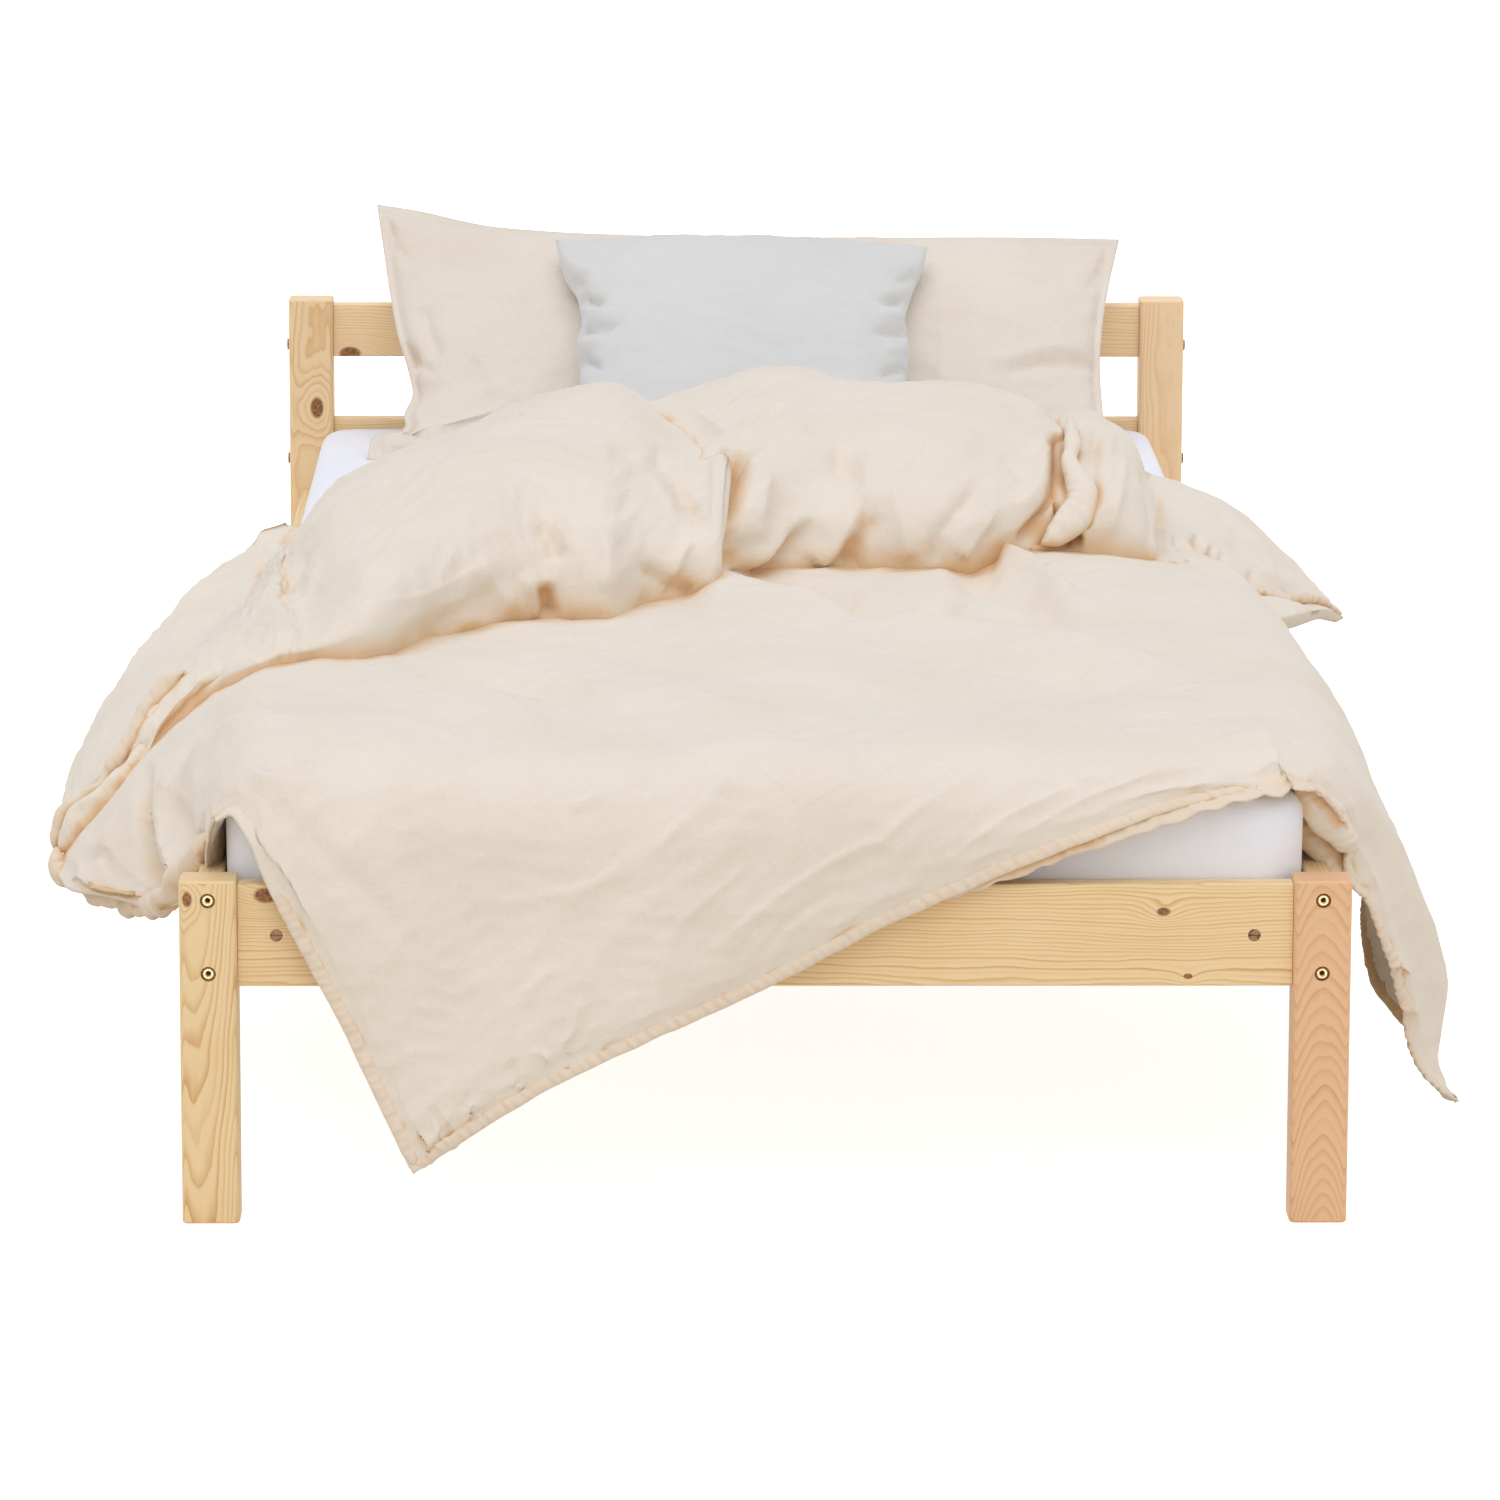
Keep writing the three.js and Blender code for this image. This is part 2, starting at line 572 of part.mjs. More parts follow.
function addPillows() {
  const pillow = cut(pillowForm(0), [...bedRoom(), ...headboardRoom()]);
  addPiece("pillow", geometryOf(pillow), pillowCotton);
  const form = stuffed(CUSHION_SIZE, CUSHION_SIZE, CUSHION_THICKNESS, 0);
  const cushion = cut(solidOf(lean(form, cushionFoot, cushionLean)), [...bedRoom(), pillowForm(CLOTH_GAP)]);
  addPiece("cushion", geometryOf(cushion), cushionCotton);
}

// Duvet

const halfMattress = MATTRESS_WIDTH / 2;
const bodyShare = 0.45;
const topShare = 0.56;
const wideShare = MATTRESS_WIDTH / 900;
const longShare = MATTRESS_LENGTH / 2000;
const crestPower = Math.log(0.5) / Math.log(ROLL_CREST);

function creaseAt(x) {
  return through(CREASE, x / wideShare) * longShare;
}

function rollEndAt(x) {
  return through(ROLL_END, x / wideShare) * longShare;
}

// Distance from the foot end for a row of the duvet
function rowAt(x, v) {
  if (v < bodyShare) {
    return lerp(0, creaseAt(x), (v / bodyShare) ** 1.25);
  }
  return lerp(creaseAt(x), rollEndAt(x), (v - bodyShare) / (1 - bodyShare));
}

// Height of the duvet's top above the mattress
function heightAt(x, v) {
  const edges = smoothstep(v, 0, 0.08) * (1 - smoothstep(v, 0.93, 1));
  const rim = v < 0.5 ? FRONT_EDGE_THICKNESS : DUVET_EDGE_THICKNESS;
  const cover = lerp(rim, DUVET_THICKNESS, edges);
  const t = clamp((v - bodyShare) / (1 - bodyShare), 0, 1);
  const arch = Math.max(Math.sin(Math.PI * t ** crestPower), 0) ** ROLL_FULLNESS;
  const leftFall = ROLL_LEFT_FALL * smoothstep(-x, 0.62 * halfMattress, halfMattress);
  const rightFall = ROLL_RIGHT_FALL * smoothstep(x, 0.7 * halfMattress, 0.97 * halfMattress);
  const sides = 1 - leftFall - rightFall;
  const valley = 1 - LOBE_VALLEY_DEPTH * Math.exp(-(((x - LOBE_VALLEY_X) / 40) ** 2));
  const ripple = 3 * Math.sin(x / 62 + 9 * v);
  return cover + ROLL_RISE * arch * sides * valley + ripple * edges;
}

function duvetPoint(inner) {
  return (s, v) => {
    const u = 2 * s - 1;
    const side = Math.sign(u);
    const x = side * Math.min(Math.abs(u) / topShare, 1) * halfMattress;
    const wing = Math.max((Math.abs(u) - topShare) / (1 - topShare), 0);
    const along = rowAt(x, v);
    const above = heightAt(x, v);
    const [reachList, hemList] = side < 0 ? [LEFT_REACH, LEFT_HEM] : [RIGHT_REACH, RIGHT_HEM];
    const outerFall = side < 0 ? LEFT_FALL : RIGHT_FALL;
    const { bow, sink } = inner ? INNER_FALL : outerFall;
    const fold = 1 + 0.05 * Math.sin(along / 52) * wing;
    const reach = through(reachList, along / longShare) * fold;
    const below = through(hemList, along / longShare);
    const top = inner ? -6 : above;
    const seam = inner ? DUVET_EDGE_THICKNESS : 0;
    const out = Math.max(reach - seam, 1) * (1 - (1 - wing) ** bow);
    const down = (top + below - seam / 3) * wing ** sink;
    return [x + side * out, mattressFoot + along, mattressTop + top - down];
  };
}

// The part that hangs over the foot end, a triangle with its corner towards the floor
function frontPoint(inner) {
  return (a, b) => {
    const topX = lerp(-halfMattress + 6, halfMattress - 6, a);
    const hemX = lerp(FRONT_CORNER_X, halfMattress - 6, a);
    const rise = clamp((hemX - FRONT_CORNER_X) / (FRONT_HEM_X - FRONT_CORNER_X), 0, 1);
    const drop = lerp(FRONT_CORNER_DROP, 10, Math.sin(rise * Math.PI / 2) ** 1.1) * b;
    const over = 42 * (1 - (1 - Math.min(4 * b, 1)) ** 2);
    const clearOfRail = 34 * smoothstep(drop, 14, 70);
    const ripple = 6 * b * Math.sin(7 * a + 4);
    const out = 24 - over - clearOfRail - FRONT_SWING * b * (1 - a) - ripple;
    const thick = inner ? lerp(26, DUVET_EDGE_THICKNESS, b) : 0;
    const height = mattressTop + lerp(inner ? 2 : FRONT_EDGE_THICKNESS, 0, Math.min(4 * b, 1)) - drop;
    return [lerp(topX, hemX, b), mattressFoot + out + thick, height];
  };
}

function addDuvet() {
  const cover = solidOf(gridBody(22, 20, duvetPoint(false), duvetPoint(true)));
  const front = solidOf(gridBody(14, 7, frontPoint(false), frontPoint(true)));
  addPiece("duvet", geometryOf(cut(cover.add(front), bedRoom())), duvetCotton);
}

addPosts();
addRails();
addFasteners();
addSlats();
addMattress();
addPillows();
addDuvet();

export default bed;
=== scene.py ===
# A low pine single bed, made up with a white fitted sheet, a folded-back duvet, a pillow and a small cushion.
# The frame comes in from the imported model. Everything soft is built here and rides on its body.
import math

import bmesh
import bpy
import numpy as np
from mathutils import Matrix, Vector
from mathutils.bvhtree import BVHTree


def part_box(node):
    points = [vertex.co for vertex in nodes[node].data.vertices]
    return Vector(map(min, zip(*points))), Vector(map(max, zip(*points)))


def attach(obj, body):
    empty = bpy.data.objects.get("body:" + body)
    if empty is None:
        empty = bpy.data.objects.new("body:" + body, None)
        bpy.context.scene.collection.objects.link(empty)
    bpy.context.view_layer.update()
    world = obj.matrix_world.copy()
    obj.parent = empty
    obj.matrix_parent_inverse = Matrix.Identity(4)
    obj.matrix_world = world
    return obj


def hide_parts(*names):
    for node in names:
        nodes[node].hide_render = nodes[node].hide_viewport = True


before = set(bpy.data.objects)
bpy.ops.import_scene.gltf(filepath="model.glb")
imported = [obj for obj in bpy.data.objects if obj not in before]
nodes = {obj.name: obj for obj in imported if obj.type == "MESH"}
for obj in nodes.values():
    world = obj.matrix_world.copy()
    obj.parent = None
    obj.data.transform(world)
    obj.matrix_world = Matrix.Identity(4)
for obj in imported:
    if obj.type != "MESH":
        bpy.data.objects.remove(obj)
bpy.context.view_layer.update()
scene = bpy.context.scene

mattressLow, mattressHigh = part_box("mattress")
sheetLow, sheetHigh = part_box("fitted_sheet")
footEnd = sheetLow.y * 1000  # mm, the mattress's foot end; "along" values are measured from here
bedTop = sheetHigh.z * 1000  # mm, top of the fitted sheet
halfBed = sheetHigh.x * 1000
print("frame in: %d nodes, mattress top at %.0f mm" % (len(nodes), bedTop))


# Small tools
def srgb(hexColour):
    channels = [int(hexColour[i:i + 2], 16) / 255 for i in (1, 3, 5)]
    return [c / 12.92 if c <= 0.04045 else ((c + 0.055) / 1.055) ** 2.4 for c in channels] + [1.0]


def addNode(tree, kind, sources=(), stops=(), **settings):
    # a node with its settings and its sources, which are given in the order of its sockets or by socket. A
    # source is a value, an output, or a node whose first output it takes. stops are those of a colour ramp
    node = tree.nodes.new(kind)
    for key, value in settings.items():
        setattr(node, key, value)
    pairs = sources.items() if isinstance(sources, dict) else enumerate(sources)
    for socket, source in pairs:
        if hasattr(source, "outputs"):
            source = source.outputs[0]
        if isinstance(source, bpy.types.NodeSocket):
            tree.links.new(source, node.inputs[socket])
        else:
            node.inputs[socket].default_value = source
    elements = node.color_ramp.elements if stops else []
    while len(elements) < len(stops):
        elements.new(0.5)
    for element, (place, colour) in zip(elements, stops):
        element.position = place
        element.color = srgb(colour) if isinstance(colour, str) else [colour, colour, colour, 1]
    return node


def newMaterial(name, **sockets):
    material = bpy.data.materials.new(name)
    material.use_nodes = True
    tree = material.node_tree
    shader = tree.nodes["Principled BSDF"]
    for socket, value in sockets.items():
        shader.inputs[socket.replace("_", " ")].default_value = value
    return material, tree, shader


def smoothstep(low, high, value):
    t = np.clip((value - low) / (high - low), 0, 1)
    return t * t * (3 - 2 * t)


def hermite(values, knots, at):
    # smooth curve through values, which lie at uneven knots
    values = np.asarray(values, float)
    slopes = np.gradient(values, knots, axis=0)
    k = np.clip(np.searchsorted(knots, at, side="right") - 1, 0, len(knots) - 2)
    column = (-1,) + (1,) * (values.ndim - 1)
    span = (knots[k + 1] - knots[k]).reshape(column)
    t = (at - knots[k]).reshape(column) / span
    a = (1 + 2 * t) * (1 - t) ** 2
    b = t * (1 - t) ** 2 * span
    c = t * t * (3 - 2 * t)
    d = t * t * (t - 1) * span
    return a * values[k] + b * slopes[k] + c * values[k + 1] + d * slopes[k + 1]


def curveThrough(points, count, edgeFine=0.0):
    # edgeFine, from 0 to 1, draws the points together towards the ends
    points = np.asarray(points, float)
    gaps = np.maximum(np.linalg.norm(np.diff(points, axis=0), axis=-1), 1e-6)
    knots = np.concatenate([[0], np.cumsum(gaps)])
    t = np.linspace(0, 1, count)
    t = t - edgeFine * np.sin(2 * math.pi * t) / (2 * math.pi)
    return hermite(points, knots, np.clip(t, 0, 1) * knots[-1])


def lengthsAlong(line):
    # how far along a line of points each of them lies
    return np.concatenate([[0], np.cumsum(np.linalg.norm(np.diff(line, axis=0), axis=1))])


waveSettings = {
    "count": 7,
    "shortest": 0.7,  # share of the asked length
    "spread": 0.8,
    "turn": 6.28,
    "level": 2.6,  # brings the sum to about one unit
}


def waves(x, y, length, seed):
    # soft random swell of about one unit, the same every run
    s = waveSettings
    random = np.random.default_rng(seed)
    total = np.zeros_like(x, float)
    for angle, phase, stretch in random.random((s["count"], 3)):
        k = 2 * math.pi / (length * (s["shortest"] + s["spread"] * stretch))
        along = x * math.cos(math.pi * angle) + y * math.sin(math.pi * angle)
        total = total + np.sin(k * along + s["turn"] * phase)
    return total / s["level"]


gridShapes = {}  # how many points lie along and across each closed form


def meshObject(name, vertices, faces, body):
    # vertices in mm, in the bed's frame
    mesh = bpy.data.meshes.new(name)
    mesh.from_pydata((np.asarray(vertices) / 1000).tolist(), [], faces)
    made = bpy.data.objects.new(name, mesh)
    scene.collection.objects.link(made)
    work = bmesh.new()
    work.from_mesh(mesh)
    bmesh.ops.recalc_face_normals(work, faces=work.faces)
    work.to_mesh(mesh)
    work.free()
    mesh.polygons.foreach_set("use_smooth", [True] * len(mesh.polygons))
    mesh.update()
    if body:
        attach(made, body)
    return made


def gridFaces(columns, rows, start=0, flip=False):
    i, j = np.meshgrid(np.arange(columns - 1), np.arange(rows - 1), indexing="ij")
    a = (start + i * rows + j).ravel()
    quads = np.stack([a, a + rows, a + rows + 1, a + 1], axis=1)
    return quads[:, ::-1] if flip else quads


def closedSheet(name, outer, inner, body):
    # a closed body between two grids of points, joined round the rim
    columns, rows = outer.shape[:2]
    size = columns * rows
    gridShapes[name] = (columns, rows)
    faces = [gridFaces(columns, rows), gridFaces(columns, rows, size, True)]
    i = np.arange(columns - 1)
    j = np.arange(rows - 1)
    last = (columns - 1) * rows
    for line, step, flip in ((i * rows, rows, False), (i * rows + rows - 1, rows, True),
                             (j, 1, True), (last + j, 1, False)):
        quads = np.stack([line, line + size, line + step + size, line + step], axis=1)
        faces.append(quads[:, ::-1] if flip else quads)
    vertices = np.concatenate([outer.reshape(-1, 3), inner.reshape(-1, 3)])
    return meshObject(name, vertices, np.concatenate(faces).tolist(), body)


def closedTube(name, loops, body):
    # loops of points round a form, one after another, with both ends closed
    count, around = loops.shape[:2]
    gridShapes[name] = (count, around)
    faces = []
    for k in range(count - 1):
        a = k * around + np.arange(around)
        b = k * around + (np.arange(around) + 1) % around
        faces.append(np.stack([a, b, b + around, a + around], axis=1))
    faces = np.concatenate(faces).tolist()
    vertices = np.concatenate([loops.reshape(-1, 3), [loops[0].mean(0), loops[-1].mean(0)]])
    for start, middle, flip in ((0, count * around, True), ((count - 1) * around, count * around + 1, False)):
        for m in range(around):
            corner = [start + m, start + (m + 1) % around, middle]
            faces.append(corner[::-1] if flip else corner)
    return meshObject(name, vertices, faces, body)


crumpleSettings = {
    "sharp": 1.6,
    "smallHeight": 0.5,  # of the small ridges between the large ones
    "smallLength": 0.55,
    "smallShift": (31, -17),
    "sink": 0.6,
}


def crumple(x, y, length, seed):
    # soft random ridges, as crumpled cotton has
    s = crumpleSettings
    shiftX, shiftY = s["smallShift"]
    large = 1 - np.abs(waves(x, y, length, seed)) * s["sharp"]
    small = 1 - np.abs(waves(x + shiftX, y + shiftY, length * s["smallLength"], seed + 1)) * s["sharp"]
    return large + s["smallHeight"] * small - s["sink"]


def gridNormals(grid):
    across = np.gradient(grid, axis=0)
    back = np.gradient(grid, axis=1)
    normals = np.cross(across, back)
    return normals / np.maximum(np.linalg.norm(normals, axis=-1, keepdims=True), 1e-9)


def vertexValues(piece, key):
    values = np.empty(len(piece.data.vertices) * 3)
    piece.data.vertices.foreach_get(key, values)
    return values.reshape(-1, 3)


def coons(low, high, left, right):
    # a patch between four edges: low and high run across, left and right run back
    a = np.linspace(0, 1, len(low))[:, None, None]
    b = np.linspace(0, 1, len(left))[None, :, None]
    corners = ((1 - a) * (1 - b) * low[0] + a * (1 - b) * low[-1] + (1 - a) * b * high[0] + a * b * high[-1])
    return (1 - b) * low[:, None] + b * high[:, None] + (1 - a) * left[None] + a * right[None] - corners


# Camera
cameraSettings = {
    "place": (-0.1027, -7.1270, 1.6209),  # metres, worked out from the four posts in the photograph
    "pitchDown": 11.298,  # degrees
    "yawRight": 0.8366,
    "roll": 0.166,
    "lens": 181.0,  # mm
    "sensor": 36,  # mm
    "photoSize": 1500,  # pixels, the size in which every pixel place of this file is given
}


def makeCamera():
    data = bpy.data.cameras.new("camera")
    data.lens = cameraSettings["lens"]
    data.sensor_width = cameraSettings["sensor"]
    data.clip_start = 0.1
    data.clip_end = 100
    camera = bpy.data.objects.new("camera", data)
    scene.collection.objects.link(camera)
    pitch, yaw, roll = (math.radians(cameraSettings[k]) for k in ("pitchDown", "yawRight", "roll"))
    right = Vector((math.cos(yaw), -math.sin(yaw), 0))
    forward = Vector((math.sin(yaw) * math.cos(pitch), math.cos(yaw) * math.cos(pitch), -math.sin(pitch)))
    up = right.cross(forward)
    right, up = (right * math.cos(roll) + up * math.sin(roll), up * math.cos(roll) - right * math.sin(roll))
    turn = Matrix((right, up, -forward)).transposed().to_4x4()
    camera.matrix_world = Matrix.Translation(cameraSettings["place"]) @ turn
    scene.camera = camera
    return np.array(right), np.array(up), np.array(forward)


viewRight, viewUp, viewForward = makeCamera()
eye = np.array(cameraSettings["place"])
focal = cameraSettings["lens"] / cameraSettings["sensor"] * cameraSettings["photoSize"]  # pixels
photoMiddle = cameraSettings["photoSize"] / 2


def rayThrough(px, py):
    # direction from the camera through a pixel
    return viewForward + viewRight * (px - photoMiddle) / focal - viewUp * (py - photoMiddle) / focal


def seen(px, py, along):
    # the point, in mm, that shows at a pixel, at a distance from the bed's foot end
    ray = rayThrough(px, py)
    reach = ((footEnd + along) / 1000 - eye[1]) / ray[1]
    return (eye + ray * reach) * 1000


def pixelsOf(points):
    # the pixels at which points, in mm, show
    away = points / 1000 - eye
    depth = away @ viewForward
    right, up = away @ viewRight / depth, away @ viewUp / depth
    return np.stack([photoMiddle + focal * right, photoMiddle - focal * up], axis=-1)


foldSettings = {
    "facing": (-0.04, 0.16),  # cosines between which a point that turns to the eye starts to be pressed
    "fade": (0.25, 0.25),  # shares of a fold over which it fades in and out, if it doesn't say
    "ridgeSharp": 1.3,  # ridges are crisp, hollows are round
    "hollowSharp": 1.8,
    "reach": 3,  # widths
    "fine": 8,  # points for each one that a path has
}


def pressFolds(points, normals, folds):
    # how far points are pushed along their normals by folds drawn on the view. A fold is a path of pixels,
    # its height in mm (below zero for a hollow), its width in pixels on its left and on its right as it runs,
    # and the shares of it over which it fades in and out
    s = foldSettings
    pixels = pixelsOf(points)
    sight = points / 1000 - eye
    sight = sight / np.linalg.norm(sight, axis=-1, keepdims=True)
    facing = smoothstep(*s["facing"], -(normals * sight).sum(-1))
    lift = np.zeros(points.shape[:-1])
    for path, height, leftWidth, rightWidth, *ends in folds.values():
        line = curveThrough(path, s["fine"] * len(path))
        reach = s["reach"] * max(leftWidth, rightWidth)
        low, high = line.min(0) - reach, line.max(0) + reach
        near = np.all((pixels > low) & (pixels < high), axis=-1) & (facing > 0)
        at = pixels[near]
        if not len(at):
            continue
        # the nearest place on the path, and the side of it that the point lies on
        start, step = line[:-1], np.diff(line, axis=0)
        offset = at[:, None] - start
        share = np.clip((offset * step).sum(-1) / (step * step).sum(-1), 0, 1)
        away = offset - share[..., None] * step
        gaps = np.linalg.norm(away, axis=-1)
        best = gaps.argmin(1)
        pick = np.arange(len(at))
        side = step[best, 0] * away[pick, best, 1] - step[best, 1] * away[pick, best, 0]
        width = np.where(side > 0, rightWidth, leftWidth)
        place = (best + share[pick, best]) / len(step)
        fadeIn, fadeOut = ends or s["fade"]
        fade = smoothstep(-0.001, fadeIn + 0.001, place) * smoothstep(-0.001, fadeOut + 0.001, 1 - place)
        sharp = s["ridgeSharp"] if height > 0 else s["hollowSharp"]
        lift[near] += height * np.exp(-(gaps[pick, best] / width) ** sharp) * fade
    return lift * facing


# Light and floor
lightSettings = {
    "skyColour": "#f6f6f8",
    "skyStrength": 0.66,
    # each lamp: colour, strength, degrees across, from where
    "lamps": {
        "overheadSoftbox": ("#f5f6ff", 1.27, 70, (-0.08, -0.5, 1.4)),
        "frontFill": ("#fff4e4", 0.20, 60, (0.25, -1.0, 0.12)),
    },
    "floorColour": "#eee6d8",
    "floorLift": 0.82,  # light that only the camera sees, so that the bare floor reads as white
    "floorHalf": 30000,  # mm
}


def seenByEye(tree):
    # 1 for what the camera, a reflection or a refraction sees
    path = addNode(tree, "ShaderNodeLightPath")
    plain, glossy, clear = (path.outputs[f"Is {way} Ray"] for way in ("Camera", "Glossy", "Transmission"))
    either = addNode(tree, "ShaderNodeMath", (plain, glossy), operation="MAXIMUM")
    return addNode(tree, "ShaderNodeMath", (either, clear), operation="MAXIMUM")


def makeLight():
    world = bpy.data.worlds.new("studio")
    scene.world = world
    world.use_nodes = True
    tree = world.node_tree
    tree.nodes.clear()
    sky = addNode(tree, "ShaderNodeBackground",
                  {"Color": srgb(lightSettings["skyColour"]), "Strength": lightSettings["skyStrength"]})
    white = addNode(tree, "ShaderNodeBackground", {"Color": (1, 1, 1, 1), "Strength": 1.0})
    mix = addNode(tree, "ShaderNodeMixShader", (seenByEye(tree), sky, white))
    addNode(tree, "ShaderNodeOutputWorld", {"Surface": mix})
    for name, (colour, strength, angle, place) in lightSettings["lamps"].items():
        sun = bpy.data.lights.new(name, "SUN")
        sun.energy = strength
        sun.angle = math.radians(angle)
        sun.color = srgb(colour)[:3]
        lamp = bpy.data.objects.new(name, sun)
        lamp.rotation_mode = "QUATERNION"
        lamp.rotation_quaternion = Vector(place).to_track_quat("Z", "Y")
        scene.collection.objects.link(lamp)


def makeFloor():
    half = lightSettings["floorHalf"]
    corners = [(-half, -half, 0), (half, -half, 0), (half, half, 0), (-half, half, 0)]
    floor = meshObject("studioFloor", corners, [(0, 1, 2, 3)], None)
    material, tree, shader = newMaterial("paintedStudioFloor", Roughness=0.9)
    shader.inputs["Base Color"].default_value = srgb(lightSettings["floorColour"])
    shader.inputs["Specular IOR Level"].default_value = 0.0
    shader.inputs["Emission Color"].default_value = (1, 1, 1, 1)
    lift = addNode(tree, "ShaderNodeMath", (seenByEye(tree), lightSettings["floorLift"]),
                   operation="MULTIPLY")
    tree.links.new(lift.outputs[0], shader.inputs["Emission Strength"])
    floor.data.materials.append(material)


scene.view_settings.view_transform = "Standard"
makeLight()
makeFloor()
print("camera, light and floor ready")


# Pine boards
# Planed pine under a thin matt lacquer: pale yellow early wood, thin darker late-wood lines, a soft gloss.
# "grain" is the board's long axis. "pith" is the tree's centre, in mm from the board's middle, across the
# board. "taper" tilts the rings, which draws arches. "wander" is how far the pith strays, in mm. "rings" is
# the growth ring width in mm. A knot has its place along the board, its place across it and its radius.
pineBoards = {
    "foot_post_left": {"grain": "z", "pith": (22, -10), "taper": (0.0, -0.05), "wander": 9.0, "rings": 1.8,
                       "pale": "#f0d5a4", "dark": "#cc9148", "knots": [(131, -17, 5)]},
    "foot_post_right": {"grain": "z", "pith": (30, 2), "taper": (0.0, 0.12), "wander": 7.0, "rings": 1.7,
                        "pale": "#ebbf94", "dark": "#d29864", "knots": []},
    "head_post_left": {"grain": "z", "pith": (60, 10), "taper": (0.02, 0.0), "rings": 2.6,
                       "pale": "#f3d7ab", "dark": "#d9a765", "knots": [(130, 6, 9)]},
    "head_post_right": {"grain": "z", "pith": (-70, 14), "taper": (0.0, 0.01), "rings": 2.4,
                        "pale": "#f8dab0", "dark": "#e2b578", "knots": []},
    "foot_rail": {"grain": "x", "pith": (20, -58), "taper": (0.0, 0.012), "rings": 2.9,
                  "pale": "#f3d7a6", "dark": "#d19a50",
                  "knots": [(-414, 34, 8), (330, 20, 4.5), (351, -35, 3), (-120, -12, 6)]},
    "head_rail_upper": {"grain": "x", "pith": (30, 60), "taper": (0.0, 0.01), "rings": 2.8,
                        "pale": "#f8dcae", "dark": "#dcaa66", "knots": [(-420, -25, 9), (60, 8, 6)]},
    "head_rail_lower": {"grain": "x", "pith": (24, -50), "taper": (0.0, 0.01), "rings": 2.8,
                        "pale": "#f8dcae", "dark": "#dcaa66", "knots": [(-150, 5, 7)]},
    "side_rail_left": {"grain": "y", "pith": (26, 54), "taper": (0.0, 0.006), "rings": 4.0,
                       "pale": "#efd5a6", "dark": "#cf9f58",
                       "knots": [(-870, 8, 7), (-300, -20, 8), (420, 14, 6)]},
    "side_rail_right": {"grain": "y", "pith": (-26, 54), "taper": (0.0, 0.006), "rings": 4.0,
                        "pale": "#ecd0a0", "dark": "#cd9a56",
                        "knots": [(-640, 10, 7), (180, -18, 8), (760, 16, 6)]},
}
# Slats and ledges: sawn and planed softwood, left bare, so paler and duller than the boards.
slatBoard = {"grain": "x", "pith": (40, 30), "taper": (0.0, 0.0), "rings": 4.5,
             "pale": "#ecdcb8", "dark": "#d0ab72", "knots": []}
ledgeBoard = dict(slatBoard, grain="y")
pineSettings = {
    "wander": 20.0,  # mm, for a board that doesn't say
    "wanderFine": (0.0045, 0.02),  # how quickly the pith strays along the board and across it, per mm
    "ringUneven": 0.3,  # of a ring's width
    "lateWood": [(0.0, 0.10), (0.12, 0.0), (0.45, 0.06), (0.80, 0.55), (0.93, 0.8), (1.0, 0.10)],
    "years": (1.1, 0.15),  # how much the rings differ, and how dark they all are at least
    "fibreFine": (0.012, 1.4),  # per mm: fibres about 0.7 mm wide, coarser than real ones, so that they show
    "fibreTone": 0.35,
    "cloudTone": 0.3,
    "knotLong": 0.62,  # a knot is drawn out along the board
    "knotSwirl": (1.7, 1.5),  # how far out the rings bend round a knot, and how strongly, in its radii
    "knotEdge": (0.95, 0.6),  # from its rim to its dark core, in its radii
    "knotTones": [(0.35, "#5d3417"), (0.62, "#a8713a")],
}
grainOrder = {"x": ("X", "Y", "Z"), "y": ("Y", "X", "Z"), "z": ("Z", "Y", "X")}


